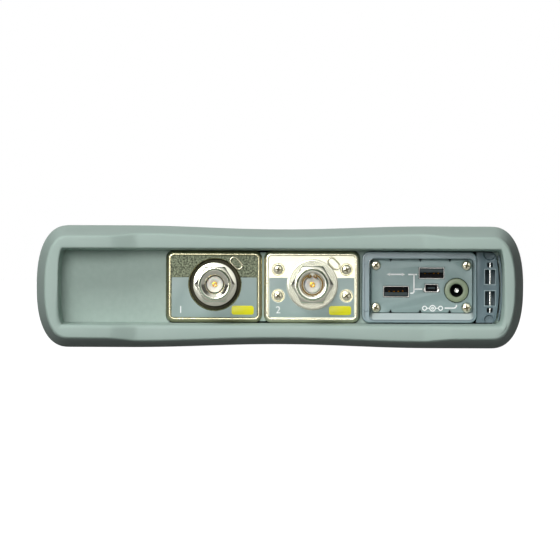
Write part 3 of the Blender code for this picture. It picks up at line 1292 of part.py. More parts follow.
def make_rear_case():
    """The lower shell, with the battery well, the stand recess and the posts of the board."""
    rear = case_shell("rear_case", -1)
    well_low = [-PACK_HALF_WIDTH - FIT_GAP, PACK_LOW_Y - FIT_GAP, BACK_Z - CUT_OVERRUN]
    well_high = [PACK_HALF_WIDTH + FIT_GAP, PACK_HIGH_Y + FIT_GAP, PACK_LOW_Z + PACK_THICKNESS + FIT_GAP]
    tub_low = [well_low[0] - BATTERY_WALL, well_low[1] - BATTERY_WALL, BACK_Z + DOOR_THICKNESS]
    tub_high = [value + BATTERY_WALL for value in well_high]
    join(rear, block("battery_tub", tub_low, tub_high))
    recess_low, recess_high = stand_recess_box()
    pad_low = [value - STAND_FLOOR_WALL - STAND_PIN_SEAT for value in recess_low]
    pad_low[2] = CASE_INNER_FLOOR - CASE_WALL / 2
    pad_high = [value + STAND_FLOOR_WALL + STAND_PIN_SEAT for value in recess_high]
    pad_high[1] = well_low[1]
    pad_high[2] = STAND_RECESS_TOP + STAND_FLOOR_WALL
    join(rear, block("stand_pad", pad_low, pad_high))
    post_base = CASE_INNER_FLOOR - CASE_WALL / 2
    for index, (x, y) in enumerate(post_places()):
        length = BOARD_Z - FIT_GAP - post_base
        join(rear, rod(f"board_post_{index}", (x, y, post_base), length, POST_RADIUS, "Z", sides=16))
    cut(rear, block("battery_well", well_low, well_high))
    seat_low, seat_high = door_box(FIT_GAP)
    seat_low[2] = BACK_Z - CUT_OVERRUN
    cut(rear, block("door_seat", seat_low, seat_high, None, DOOR_RADIUS, "Z", 3))
    cut(rear, block("stand_recess", recess_low, recess_high))
    scoop_start = (0, recess_high[1], BACK_Z - CUT_OVERRUN)
    scoop_length = STAND_RECESS_TOP - BACK_Z + CUT_OVERRUN
    scoop_radius = (seat_low[1] - recess_high[1]) * STAND_SCOOP_SHARE
    cut(rear, rod("stand_scoop", scoop_start, scoop_length, scoop_radius, "Z", sides=28))
    pin_half = STAND_HALF_WIDTH + STAND_SIDE_GAP + STAND_PIN_SEAT
    pin_start = (-pin_half, STAND_AXIS_Y, STAND_AXIS_Z)
    cut(rear, rod("stand_pin_bore", pin_start, 2 * pin_half, STAND_PIN_RADIUS + FIT_GAP, "X", sides=16))


def door_box(grow):
    half_width = PACK_HALF_WIDTH + DOOR_LAP + grow
    low_y = PACK_LOW_Y - DOOR_LAP - grow
    high_y = PACK_HIGH_Y + DOOR_LAP + grow
    return [-half_width, low_y, BACK_Z], [half_width, high_y, BACK_Z + DOOR_THICKNESS + grow]


def make_battery():
    low = (-PACK_HALF_WIDTH, PACK_LOW_Y, PACK_LOW_Z)
    high = (PACK_HALF_WIDTH, PACK_HIGH_Y, PACK_LOW_Z + PACK_THICKNESS)
    block("battery_pack", low, high, "black_plastic", PACK_RADIUS, "X", 3)
    door_low, door_high = door_box(0.0)
    origin = (0, door_low[1], BACK_Z)
    door = block("battery_door", door_low, door_high, "case_plastic", DOOR_RADIUS, "Z", 3, origin)
    for index in range(DOOR_GRIP_COUNT):
        line_y = door_high[1] - DOOR_GRIP_MARGIN - index * DOOR_GRIP_PITCH
        grip_low = (-DOOR_GRIP_LENGTH / 2, line_y, BACK_Z - CUT_OVERRUN)
        grip_high = (DOOR_GRIP_LENGTH / 2, line_y + DOOR_GRIP_WIDTH, BACK_Z + DOOR_GRIP_DEPTH)
        cut(door, block(f"door_grip_{index}", grip_low, grip_high))


def make_stand():
    """A flat bail with a barrel along its hinge edge, and the steel pin through the barrel."""
    origin = (0, STAND_AXIS_Y, STAND_AXIS_Z)
    low = (-STAND_HALF_WIDTH, STAND_AXIS_Y, BACK_Z + FIT_GAP)
    high = (STAND_HALF_WIDTH, STAND_END_Y, BACK_Z + FIT_GAP + STAND_THICKNESS)
    stand = block("tilt_stand", low, high, "case_plastic", origin=origin)
    barrel_start = (-STAND_HALF_WIDTH, STAND_AXIS_Y, STAND_AXIS_Z)
    length = 2 * STAND_HALF_WIDTH
    join(stand, rod("stand_barrel", barrel_start, length, STAND_BARREL_RADIUS, "X", sides=24))
    bore_start = (-STAND_HALF_WIDTH - CUT_OVERRUN, STAND_AXIS_Y, STAND_AXIS_Z)
    bore_length = length + 2 * CUT_OVERRUN
    cut(stand, rod("stand_bore", bore_start, bore_length, STAND_PIN_RADIUS + FIT_GAP, "X", sides=16))
    gap_low = (-STAND_HALF_WIDTH + STAND_BAR_WIDTH, STAND_AXIS_Y + STAND_BAR_WIDTH, BACK_Z - CUT_OVERRUN)
    gap_high = (STAND_HALF_WIDTH - STAND_BAR_WIDTH, STAND_END_Y - STAND_BAR_WIDTH, STAND_RECESS_TOP)
    cut(stand, block("stand_gap", gap_low, gap_high, None, KEY_RADIUS, "Z", 3))
    pin_half = STAND_HALF_WIDTH + STAND_SIDE_GAP + STAND_PIN_SEAT - FIT_GAP
    pin_start = (-pin_half, STAND_AXIS_Y, STAND_AXIS_Z)
    rod("tilt_stand_pin", pin_start, 2 * pin_half, STAND_PIN_RADIUS, "X", "steel", 16)


def smooth_round_pieces():
    for obj in PARTS.objects:
        obj.data.shade_smooth()
        obj.data.set_sharp_from_angle(angle=math.radians(SHARP_ANGLE_DEG))


def main():
    make_bumper()
    make_connector_panel()
    for number, x in ((1, PORT_1_X), (2, PORT_2_X)):
        make_port_housing(number, x)
        make_rf_connector(number, x)
        make_socket_core(number, x)
    make_retaining_ring(PORT_2_X)
    make_io_bay()
    make_hinge_pin()
    make_io_plate()
    make_usb_a(1, USB_A_1_SHARES, -1)
    make_usb_a(2, USB_A_2_SHARES, 1)
    make_usb_mini()
    make_dc_jack()
    make_front_case()
    make_display()
    make_keypad_mat()
    for key in key_grid():
        make_key(*key)
    make_knob()
    make_encoder()
    make_board()
    make_rear_case()
    make_battery()
    make_stand()
    smooth_round_pieces()


main()
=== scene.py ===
# %% [markdown]
# # A handheld antenna analyzer, seen from its connector end
#
# The instrument lies on its back on a pale floor, and the camera looks straight at the bay with
# its radio, data and power sockets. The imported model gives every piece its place: the scene
# keeps those places and works on the finish. Each step below first says what a piece is on the
# real object, then how it could be made in Blender, and why it is made this way here.
#
# The frame is loaded first. Its nodes are the solids of the working model, in metres, and
# their boxes say where each dressed piece belongs.

# %% Load the frame
import math

import bmesh
import bpy
from mathutils import Matrix, Vector


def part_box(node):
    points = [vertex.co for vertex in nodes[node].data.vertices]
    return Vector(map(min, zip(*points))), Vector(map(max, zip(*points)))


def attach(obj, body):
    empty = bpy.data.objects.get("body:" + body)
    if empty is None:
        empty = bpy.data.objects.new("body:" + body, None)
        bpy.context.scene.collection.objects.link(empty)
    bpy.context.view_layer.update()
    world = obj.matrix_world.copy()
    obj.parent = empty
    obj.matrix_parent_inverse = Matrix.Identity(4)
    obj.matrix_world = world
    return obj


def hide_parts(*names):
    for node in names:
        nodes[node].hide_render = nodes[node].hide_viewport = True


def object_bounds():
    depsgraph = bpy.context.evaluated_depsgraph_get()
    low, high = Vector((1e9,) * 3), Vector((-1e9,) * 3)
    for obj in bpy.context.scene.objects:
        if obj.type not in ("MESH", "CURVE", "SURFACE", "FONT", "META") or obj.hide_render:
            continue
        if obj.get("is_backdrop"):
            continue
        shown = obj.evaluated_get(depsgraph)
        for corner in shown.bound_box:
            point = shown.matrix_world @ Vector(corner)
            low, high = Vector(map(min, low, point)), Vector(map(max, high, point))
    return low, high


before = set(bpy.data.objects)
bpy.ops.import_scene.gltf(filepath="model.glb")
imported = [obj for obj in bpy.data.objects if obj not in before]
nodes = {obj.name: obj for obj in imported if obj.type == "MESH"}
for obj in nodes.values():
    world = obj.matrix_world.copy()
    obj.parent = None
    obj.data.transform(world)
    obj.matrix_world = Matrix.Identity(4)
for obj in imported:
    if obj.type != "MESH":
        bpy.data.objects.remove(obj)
cad_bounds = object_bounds()
MM = 0.001


def add_object(name, data):
    """A new object in the scene that shows a mesh, a lamp, a camera or a text."""
    shown = bpy.data.objects.new(name, data)
    bpy.context.scene.collection.objects.link(shown)
    return shown


def in_mm(pairs):
    """Points of a section or an outline that are written in millimetres, as metres."""
    return [(across * MM, along * MM) for across, along in pairs]


# %% [markdown]
# ## Camera
#
# The photograph is almost free of perspective: both ends of the bay are seen equally straight.
# A long lens far away does that. The view is 287 mm wide at the sockets, the camera stands a
# little above the middle of the instrument, and the picture leans by a fifth of a degree.

# %% Camera
VIEW_WIDTH = 287.5 * MM
SENSOR_WIDTH = 36.0
LENS = 600.0
CAMERA_RISE_DEG = 0.3
CAMERA_ROLL_DEG = 0.22
SOCKETS_Y = -66 * MM
AIM_HEIGHT = 34.8 * MM
CLIP_END = 50.0
aim = Vector((0, SOCKETS_Y, AIM_HEIGHT))
distance = VIEW_WIDTH * LENS / SENSOR_WIDTH
rise = math.radians(CAMERA_RISE_DEG)
camera_data = bpy.data.cameras.new("camera")
camera_data.lens = LENS
camera_data.sensor_width = SENSOR_WIDTH
camera_data.clip_end = CLIP_END
camera = add_object("camera", camera_data)
camera.location = aim + distance * Vector((0, -math.cos(rise), math.sin(rise)))
facing = (aim - camera.location).to_track_quat("-Z", "Y").to_matrix().to_4x4()
lean = Matrix.Rotation(math.radians(CAMERA_ROLL_DEG), 4, "Z")
camera.matrix_world = Matrix.Translation(camera.location) @ facing @ lean
bpy.context.scene.camera = camera
print("camera at", [round(v, 3) for v in camera.location])

# %% [markdown]
# ## Colours and nodes
#
# Colours are written as they look on a screen, as hex values, and one function turns them to
# the linear values that the renderer works with. One other function adds a node: it sets the
# node's options, fills its inputs with numbers, and links an input where it is given an output.

# %% Helpers for colours and nodes
def linear(hex_colour):
    channels = [int(hex_colour[i:i + 2], 16) / 255 for i in (1, 3, 5)]
    return [c / 12.92 if c <= 0.04045 else ((c + 0.055) / 1.055) ** 2.4 for c in channels] + [1.0]


def add_node(tree, kind, inputs, **options):
    """Adds a node; an input that is given as a socket is linked, and any other is set."""
    node = tree.nodes.new(kind)
    for name, value in options.items():
        setattr(node, name, value)
    for name, value in inputs.items():
        if isinstance(value, bpy.types.NodeSocket):
            tree.links.new(value, node.inputs[name])
        else:
            node.inputs[name].default_value = value
    return node


def start_finish(name, hex_colour, roughness, **sockets):
    """A new material with its colour, roughness and other even values set on the shader itself."""
    material = bpy.data.materials.new(name)
    material.use_nodes = True
    tree = material.node_tree
    shader = tree.nodes["Principled BSDF"]
    shader.inputs["Base Color"].default_value = linear(hex_colour)
    shader.inputs["Roughness"].default_value = roughness
    for socket, value in sockets.items():
        shader.inputs[socket.replace("_", " ")].default_value = value
    place = add_node(tree, "ShaderNodeTexCoord", {}).outputs["Object"]
    return material, tree, shader, place


def grain(tree, shader, place, size_mm, height_mm, stretch=(1, 1, 1)):
    """A fine surface grain: noise whose lumps are size_mm apart and height_mm high."""
    spread = add_node(tree, "ShaderNodeMapping", {"Vector": place, "Scale": stretch})
    lumps = add_node(
        tree, "ShaderNodeTexNoise",
        {"Vector": spread.outputs["Vector"], "Scale": 1 / (size_mm * MM), "Detail": 3.0},
    )
    bump = add_node(
        tree, "ShaderNodeBump",
        {"Height": lumps.outputs["Fac"], "Distance": height_mm * MM, "Strength": 1.0},
    )
    tree.links.new(bump.outputs["Normal"], shader.inputs["Normal"])
    return lumps


def mottle(tree, shader, place, size_mm, low_hex, high_hex):
    """Uneven colour: noise of a given size runs between two tones of the same finish."""
    clouds = add_node(
        tree, "ShaderNodeTexNoise", {"Vector": place, "Scale": 1 / (size_mm * MM), "Detail": 2.0}
    )
    mix = add_node(
        tree, "ShaderNodeMix", {0: clouds.outputs["Fac"], 6: linear(low_hex), 7: linear(high_hex)},
        data_type="RGBA",
    )
    tree.links.new(mix.outputs[2], shader.inputs["Base Color"])


print("helpers ready")

# %% [markdown]
# ## Light
#
# The photograph was taken before white. The shadow of the lip on the bay's floor is low, so one
# soft light stands low at the front left. The edges that face up are bright and the plate is
# lighter at its foot, so a second one hangs high in front. The underside falls away to near
# black. The camera sees plain white behind and below the object, as in the photograph. Nickel
# needs something to mirror, so reflections see a studio that is dark at its sides.

# %% Lamps, world and floor
# name: place in metres, width in metres, power in watts
LAMPS = {
    "key_softbox": ((-0.33, -1.58, 0.37), 0.6, 13.0),
    "top_softbox": ((-0.48, -0.83, 1.1), 0.7, 10.5),
    "front_fill": ((0.3, -2.2, 0.3), 1.0, 0.8),
}
WORLD_GLOW = 0.03
SIDE_FADE = (0.2, 0.65)
SIDE_GLINT = 0.1
LOW_FADE = (-0.3, 0.05)
LOW_GLINT = 0.15

for name, (place, size, power) in LAMPS.items():
    lamp_data = bpy.data.lights.new(name, "AREA")
    lamp_data.shape = "DISK"
    lamp_data.size = size
    lamp_data.energy = power
    lamp = add_object(name, lamp_data)
    lamp.location = place
    lamp.rotation_euler = (aim - lamp.location).to_track_quat("-Z", "Y").to_euler()


def studio_walls(tree):
    """What a reflection sees of the studio: white above and in front, dark at the sides and below."""
    direction = add_node(tree, "ShaderNodeTexCoord", {}).outputs["Generated"]
    parts = add_node(tree, "ShaderNodeSeparateXYZ", {"Vector": direction})
    sideways = add_node(tree, "ShaderNodeMath", {0: parts.outputs["X"]}, operation="ABSOLUTE")
    sides = add_node(
        tree, "ShaderNodeMapRange",
        {
            "Value": sideways.outputs[0], "From Min": SIDE_FADE[0], "From Max": SIDE_FADE[1],
            "To Min": 1.0, "To Max": SIDE_GLINT,
        },
    )
    height = add_node(
        tree, "ShaderNodeMapRange",
        {
            "Value": parts.outputs["Z"], "From Min": LOW_FADE[0], "From Max": LOW_FADE[1],
            "To Min": LOW_GLINT, "To Max": 1.0,
        },
    )
    return add_node(
        tree, "ShaderNodeMath", {0: sides.outputs[0], 1: height.outputs[0]}, operation="MULTIPLY"
    ).outputs[0]


world = bpy.data.worlds.new("studio")
bpy.context.scene.world = world
world.use_nodes = True
world_tree = world.node_tree
rays = add_node(world_tree, "ShaderNodeLightPath", {})
mirrored = add_node(
    world_tree, "ShaderNodeMix",
    {0: rays.outputs["Is Glossy Ray"], 2: WORLD_GLOW, 3: studio_walls(world_tree)},
    data_type="FLOAT",
)
seen = add_node(
    world_tree, "ShaderNodeMath",
    {0: rays.outputs["Is Camera Ray"], 1: rays.outputs["Is Transmission Ray"]},
    operation="MAXIMUM",
)
glow = add_node(
    world_tree, "ShaderNodeMix", {0: seen.outputs[0], 2: mirrored.outputs[0], 3: 1.0},
    data_type="FLOAT",
)
background = world_tree.nodes["Background"]
background.inputs["Color"].default_value = linear("#ffffff")
world_tree.links.new(glow.outputs[0], background.inputs["Strength"])

FLOOR_HALF = 6.0
FLOOR_GLINT = 0.35
floor_mesh = bpy.data.meshes.new("floor")
corners = [(x * FLOOR_HALF, y * FLOOR_HALF, 0) for x, y in ((-1, -1), (1, -1), (1, 1), (-1, 1))]
floor_mesh.from_pydata(corners, [], [(0, 1, 2, 3)])
floor = add_object("floor", floor_mesh)
floor_finish, floor_tree, floor_shader = start_finish(
    "white paper sweep", "#4c4c4c", 0.9, Emission_Color=linear("#ffffff")
)[:3]
floor_rays = add_node(floor_tree, "ShaderNodeLightPath", {})
floor_glow = add_node(
    floor_tree, "ShaderNodeMath",
    {
        0: floor_rays.outputs["Is Glossy Ray"], 1: FLOOR_GLINT,
        2: floor_rays.outputs["Is Camera Ray"],
    },
    operation="MULTIPLY_ADD",
)
floor_tree.links.new(floor_glow.outputs[0], floor_shader.inputs["Emission Strength"])
floor_mesh.materials.append(floor_finish)
floor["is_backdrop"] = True
bpy.context.scene.view_settings.view_transform = "Standard"

# %% [markdown]
# ## Finishes of the rubber and plastics
#
# The boot is a moulded thermoplastic rubber: grey-green, matt, with a fine spark-eroded grain
# that breaks up every highlight. Real grain is about 0.15 mm, under a pixel here, so it is drawn
# 0.7 mm apart to show at all. Slow mottling of two centimetres stands for handling marks.

# %% Rubber and plastics
def moulded(name, hex_colour, roughness, grain_mm, grain_high_mm, tones, tone_mm, **sockets):
    """Moulded rubber or plastic: an even colour with fine grain and slow uneven tones."""
    material, tree, shader, place = start_finish(name, hex_colour, roughness, **sockets)
    grain(tree, shader, place, grain_mm, grain_high_mm)
    mottle(tree, shader, place, tone_mm, *tones)
    return material


rubber = moulded(
    "moulded grey-green rubber", "#a9bdb4", 0.6, 0.7, 0.03, ("#a3b8af", "#afc1b9"), 22,
    Specular_IOR_Level=0.35,
)
bay_floor_plastic = moulded(
    "textured grey-green ABS", "#a9bcb3", 0.6, 1.0, 0.05, ("#a2b5ac", "#b0c2b9"), 3,
    Specular_IOR_Level=0.3,
)
bay_plastic = moulded(
    "moulded blue-grey ABS", "#879da1", 0.3, 0.7, 0.006, ("#81979c", "#8da3a7"), 9,
    Specular_IOR_Level=1.0,
)
# A paler, glossier copy of the bay plastic for the upward slope below the plate: painted light.
painted_light_bay_plastic = moulded(
    "blue-grey ABS with painted light on its upward slope", "#c3d0cf", 0.25, 0.7, 0.004, ("#bccac9", "#cad6d5"), 9,
)
hinge_plastic = moulded(
    "moulded dark blue-grey ABS", "#5d7279", 0.45, 0.7, 0.01, ("#586c73", "#63787f"), 6,
)
plate_paint = moulded(
    "blue-grey painted plate", "#8fa5a3", 0.5, 0.5, 0.01, ("#8aa09e", "#95aaa8"), 5,
)
label_paint = moulded(
    "blue-grey printed foil", "#9aaeaa", 0.45, 0.6, 0.005, ("#94a8a4", "#a0b3af"), 12,
)
black_nylon = moulded(
    "black nylon", "#0c0d0e", 0.7, 0.6, 0.01, ("#090a0b", "#101112"), 4, Specular_IOR_Level=0.12
)
grey_nylon = moulded(
    "dark grey nylon", "#3f494b", 0.6, 0.6, 0.01, ("#394345", "#475153"), 4, Specular_IOR_Level=0.2
)
olive_nylon = moulded("olive nylon", "#8d9b7b", 0.4, 0.6, 0.01, ("#87957a", "#93a181"), 4)
ptfe = moulded(
    "turned white PTFE", "#f1efe4", 0.4, 0.6, 0.005, ("#ebe9dd", "#f5f3ea"), 3,
    Subsurface_Weight=0.15, Subsurface_Scale=0.002,
)
case_plastic = moulded(
    "textured graphite ABS", "#5f6a6b", 0.55, 0.9, 0.04, ("#5a6566", "#657071"), 15,
)
trim_plastic = moulded(
    "textured dark ABS", "#474f51", 0.5, 0.9, 0.03, ("#434b4d", "#4c5456"), 12,
)
key_rubber = moulded(
    "moulded grey silicone rubber", "#c3c9c7", 0.6, 0.6, 0.01, ("#bec4c2", "#c8cecc"), 6,
    Specular_IOR_Level=0.35,
)
dark_key_rubber = moulded(
    "moulded dark silicone rubber", "#5b676b", 0.6, 0.6, 0.01, ("#566266", "#606c70"), 6,
    Specular_IOR_Level=0.35,
)
white_ink = moulded("white screen ink", "#fbfdfb", 0.5, 0.5, 0.002, ("#f6f9f6", "#ffffff"), 2)
dark_ink = moulded("dark screen ink", "#22282a", 0.5, 0.5, 0.002, ("#1e2426", "#272d2f"), 2)
yellow_ink = moulded("yellow screen ink", "#efe90a", 0.45, 0.5, 0.002, ("#e9e305", "#f5ef12"), 3)
print(len(bpy.data.materials), "finishes so far")

# %% [markdown]
# ## Finishes of the metals
#
# The port fronts are zinc castings under nickel, which looks faintly yellow beside the blue-grey
# foil. Their rims are polished by the mould, the left front is rough as cast, and the right one
# satin. The left port's rim and front are darker copies, which paint a dark reflection on them.
# The sockets are turned brass under nickel, with fine tool marks drawn here 0.4 mm apart.

# %% Metals
def plated(
    name, hex_colour, roughness, mark_mm, mark_high_mm, stretch=(1, 1, 1), tones=None, tone_mm=4
):
    """A plated metal whose machining or casting marks are a stretched grain."""
    material, tree, shader, place = start_finish(name, hex_colour, roughness, Metallic=1.0)
    grain(tree, shader, place, mark_mm, mark_high_mm, stretch)
    if tones:
        mottle(tree, shader, place, tone_mm, *tones)
    return material


cast_nickel = plated(
    "nickel-plated zinc casting", "#d0ccb2", 0.26, 1.2, 0.01,
    tones=("#c8c4a8", "#d8d4bb"), tone_mm=8,
)
# A darker copy of the same casting for the left port's rim: painted dark reflection.
cast_nickel_painted_dark = plated(
    "nickel-plated zinc casting darkened as painted reflection", "#aba787", 0.26, 1.2, 0.01,
    tones=("#a29e7e", "#b5b193"), tone_mm=8,
)
# Near-black nickel for the deep well round the left socket: painted shade.
well_painted_shade = plated(
    "near-black nickel painted as shade in the well", "#38372b", 0.55, 0.6, 0.02, tones=("#302f24", "#424134")
)
satin_nickel = plated(
    "satin nickel casting", "#d3d1bb", 0.45, 0.5, 0.01, tones=("#cbc9b2", "#dbd9c5"), tone_mm=1.2
)
turned_nickel = plated(
    "turned nickel-plated brass", "#dcdccb", 0.16, 0.4, 0.002,
    tones=("#d5d5c3", "#e3e3d3"), tone_mm=3,
)
gold_plate = plated(
    "gold-plated beryllium copper", "#e8b53c", 0.2, 0.4, 0.002,
    tones=("#e2ae35", "#efbd48"), tone_mm=1,
)
spring_bronze = plated(
    "tempered spring bronze", "#57431e", 0.4, 0.4, 0.004,
    tones=("#4b3918", "#654f28"), tone_mm=1.5,
)
drawn_steel = plated(
    "drawn stainless steel", "#d9d9d4", 0.24, 0.5, 0.003, (1, 0.1, 1), ("#d1d1cc", "#e1e1dc"), 2
)
screw_steel = plated(
    "nickel-plated screw steel", "#e6e1c8", 0.2, 0.4, 0.003,
    tones=("#ded9be", "#ece8d1"), tone_mm=1,
)
# A dark steel for the cross of each screw head: painted shade in the recess.
screw_recess_painted_shade = plated("steel darkened as painted shade in a screw's recess", "#55523f", 0.5, 0.4, 0.003)


SPECK_MM = 0.8
SPECK_HIGH_MM = 0.12
# Dark speckle tones: the rough casting's grain, darkened as a painted dark reflection.
SPECK_AND_REFLECTION_TONES = ((0.36, "#2b3024"), (0.66, "#878f74"))


def rough_casting():
    """The left port's rough front as cast: nickel speckled by its grain, and darkened as a painted
    dark reflection.
    """
    material, tree, shader, place = start_finish(
        "rough nickel casting with painted dark reflection", "#6a7358", 0.5, Metallic=0.6
    )
    specks = grain(tree, shader, place, SPECK_MM, SPECK_HIGH_MM)
    tones = add_node(tree, "ShaderNodeValToRGB", {"Fac": specks.outputs["Fac"]})
    for element, (position, tone) in zip(tones.color_ramp.elements, SPECK_AND_REFLECTION_TONES):
        element.position = position
        element.color = linear(tone)
    tree.links.new(tones.outputs["Color"], shader.inputs["Base Color"])
    return material


rough_nickel_dark_reflection = rough_casting()
print(len(bpy.data.materials), "finishes in all, glass and board to come")

# %% [markdown]
# ## Making and finishing a piece
#
# Every form here is one of three: a loft over a row of rings, a turned shape, or a flat outline
# made thick. Rings give rounded edges exactly where the mould has them, which a bevel on a
# finished solid can't promise. Openings are then cut with Booleans. A piece is put in the
# scene by one function, which also hangs it on the body that carries it and hides the nodes it
# stands for.

# %% Placing, cutting and smoothing
SHARP_EDGE_DEG = 32.0
made = []


def to_piece(name, bm, material):
    mesh = bpy.data.meshes.new(name)
    bmesh.ops.recalc_face_normals(bm, faces=bm.faces)
    bm.to_mesh(mesh)
    bm.free()
    mesh.materials.append(material)
    return add_object(name, mesh)


def apply_steps(piece):
    """Turns the result of a piece's modifiers into its mesh."""
    bpy.context.view_layer.update()
    evaluated = piece.evaluated_get(bpy.context.evaluated_depsgraph_get())
    finished = bpy.data.meshes.new_from_object(evaluated)
    rough = piece.data
    piece.modifiers.clear()
    piece.data = finished
    finished.name = piece.name
    bpy.data.meshes.remove(rough)


def combine(piece, others, operation="DIFFERENCE"):
    """Cuts the other shapes out of a piece, or joins them to it, and removes them."""
    for other in others:
        step = piece.modifiers.new(other.name, "BOOLEAN")
        step.operation = operation
        step.solver = "EXACT"
        step.object = other
    apply_steps(piece)
    for other in others:
        spent = other.data
        bpy.data.objects.remove(other, do_unlink=True)
        bpy.data.meshes.remove(spent)
    return piece


def soften(piece, width_mm, steps=2, angle_deg=SHARP_EDGE_DEG):
    """Rounds every sharp edge a little, as a mould or a cutter leaves it."""
    bevel = piece.modifiers.new("soft edges", "BEVEL")
    bevel.width = width_mm * MM
    bevel.segments = steps
    bevel.limit_method = "ANGLE"
    bevel.angle_limit = math.radians(angle_deg)
    apply_steps(piece)
    return piece


def finish_piece(piece, body="housing", stands_for=(), sharp_deg=SHARP_EDGE_DEG):
    """Shades a piece, lets it ride on its body, and hides the CAD nodes it stands for."""
    piece.data.shade_smooth()
    piece.data.set_sharp_from_angle(angle=math.radians(sharp_deg))
    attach(piece, body)
    if stands_for:
        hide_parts(*stands_for)
    made.append(piece.name)
    return piece


print("ready to make pieces")

# %% Rings and lofts
def bridge(bm, rows):
    """Faces between each row of points and the next; all rows have equally many points."""
    for near, far in zip(rows, rows[1:]):
        count = len(near)
        for i in range(count):
            j = (i + 1) % count
            bm.faces.new((near[i], near[j], far[j], far[i]))


def loft(name, rings, material, closed=False):
    """One skin over rings of equally many points; its ends are closed, or joined together."""
    bm = bmesh.new()
    rows = [[bm.verts.new(point) for point in ring] for ring in rings]
    bridge(bm, rows + [rows[0]] if closed else rows)
    if not closed:
        bm.faces.new(rows[0])
        bm.faces.new(rows[-1])
    return to_piece(name, bm, material)


def rectangle_ring(low_u, high_u, low_v, high_v, radius, steps=6):
    """The points of a rectangle with round corners, counter-clockwise from its lower right."""
    points = []
    for corner_u, corner_v, start in (
        (high_u - radius, low_v + radius, -90), (high_u - radius, high_v - radius, 0),
        (low_u + radius, high_v - radius, 90), (low_u + radius, low_v + radius, 180),
    ):
        for step in range(steps + 1):
            angle = math.radians(start + 90 * step / steps)
            points.append(
                (corner_u + radius * math.cos(angle), corner_v + radius * math.sin(angle))
            )
    return points


LEAST_RADIUS = 0.02 * MM


def front_ring(bounds, radius, y):
    """A ring that faces the connector end; its bounds are low x, high x, low z, high z."""
    return [(u, y, v) for u, v in rectangle_ring(*bounds, max(radius, LEAST_RADIUS))]


def flat_ring(bounds, radius, z):
    """A ring that faces up; its bounds are low x, high x, low y, high y."""
    return [(u, v, z) for u, v in rectangle_ring(*bounds, max(radius, LEAST_RADIUS))]


def inset(bounds, amount):
    return (bounds[0] + amount, bounds[1] - amount, bounds[2] + amount, bounds[3] - amount)


def rounded_edge(bounds, radius, front_y, rounding, steps):
    """The rings of a rounded front edge, from the side wall to the face."""
    rings = []
    for step in range(steps + 1):
        angle = math.pi / 2 * step / steps
        amount = rounding * (1 - math.cos(angle))
        level = front_y + rounding * (1 - math.sin(angle))
        rings.append(front_ring(inset(bounds, amount), radius - amount, level))
    return rings


print("rings and lofts ready")

# %% Turned shapes and outlines
def spin_rows(bm, profile, sides):
    """A row of points round the axis for each (radius, height), or one point on the axis."""
    angles = [2 * math.pi * i / sides for i in range(sides)]
    rows = []
    for radius, height in profile:
        if radius <= 0:
            rows.append([bm.verts.new((0, 0, height))])
            continue
        rows.append([
            bm.verts.new((radius * math.cos(a), radius * math.sin(a), height)) for a in angles
        ])
    return rows


def set_in_place(bm, centre, facing="front"):
    """Turns a spun shape's axis towards the viewer, or leaves it upright, and moves it."""
    if facing == "front":
        bmesh.ops.rotate(bm, verts=bm.verts, matrix=Matrix.Rotation(math.radians(90), 3, "X"))
    bmesh.ops.translate(bm, verts=bm.verts, vec=centre)


def turned(name, profile, centre, material, sides=96, facing="front"):
    """A turned shape: profile points are (radius, height); height runs towards the viewer."""
    bm = bmesh.new()
    rows = spin_rows(bm, profile, sides)
    for near, far in zip(rows, rows[1:]):
        for i in range(sides):
            j = (i + 1) % sides
            corners = [
                near[i % len(near)], near[j % len(near)], far[j % len(far)], far[i % len(far)]
            ]
            corners = list(dict.fromkeys(corners))
            if len(corners) > 2:
                bm.faces.new(corners)
    for row in (rows[0], rows[-1]):
        if len(row) > 1:
            bm.faces.new(row)
    set_in_place(bm, centre, facing)
    return to_piece(name, bm, material)


def rod(radius, back, front):
    """The profile of a plain round bar, as a drill or a boring tool cuts it."""
    return [(0, back), (radius, back), (radius, front), (0, front)]


def tube(name, profile, centre, material, sides=72):
    """A ring-shaped turned piece, whose closed section is given as (radius, height)."""
    bm = bmesh.new()
    rows = spin_rows(bm, profile, sides)
    bridge(bm, rows + [rows[0]])
    set_in_place(bm, centre)
    return to_piece(name, bm, material)


def thick_outline(name, points, level, depth, material, facing="front"):
    """A flat outline made thick: it lies at one y and runs back, or at one z and runs down."""
    bm = bmesh.new()
    if facing == "front":
        verts = [bm.verts.new((u, level, v)) for u, v in points]
        run = Vector((0, depth, 0))
    else:
        verts = [bm.verts.new((u, v, level)) for u, v in points]
        run = Vector((0, 0, -depth))
    face = bm.faces.new(verts)
    grown = bmesh.ops.extrude_face_region(bm, geom=[face])
    moved = [v for v in grown["geom"] if isinstance(v, bmesh.types.BMVert)]
    bmesh.ops.translate(bm, verts=moved, vec=run)
    return to_piece(name, bm, material)


def box_cutter(name, low, high):
    bm = bmesh.new()
    bmesh.ops.create_cube(bm, size=1.0)
    low, high = Vector(low), Vector(high)
    bmesh.ops.scale(bm, vec=high - low, verts=bm.verts)
    bmesh.ops.translate(bm, vec=(low + high) / 2, verts=bm.verts)
    return to_piece(name, bm, black_nylon)


print("turned shapes and outlines ready")

# %% [markdown]
# ## The rubber boot
#
# The boot is one moulding: it wraps the housing, and at the connector end it flares in to a
# wide lip that is set back in its middle, behind two sloping facets. Its long sides dip a
# little towards their middle. It could be sculpted, but a loft over measured rings gives the
# same shape every time, and shows where each measure goes. The rings run from the foot end,
# forward over the outside, round the lip's two edges, and down the walls of the bay.

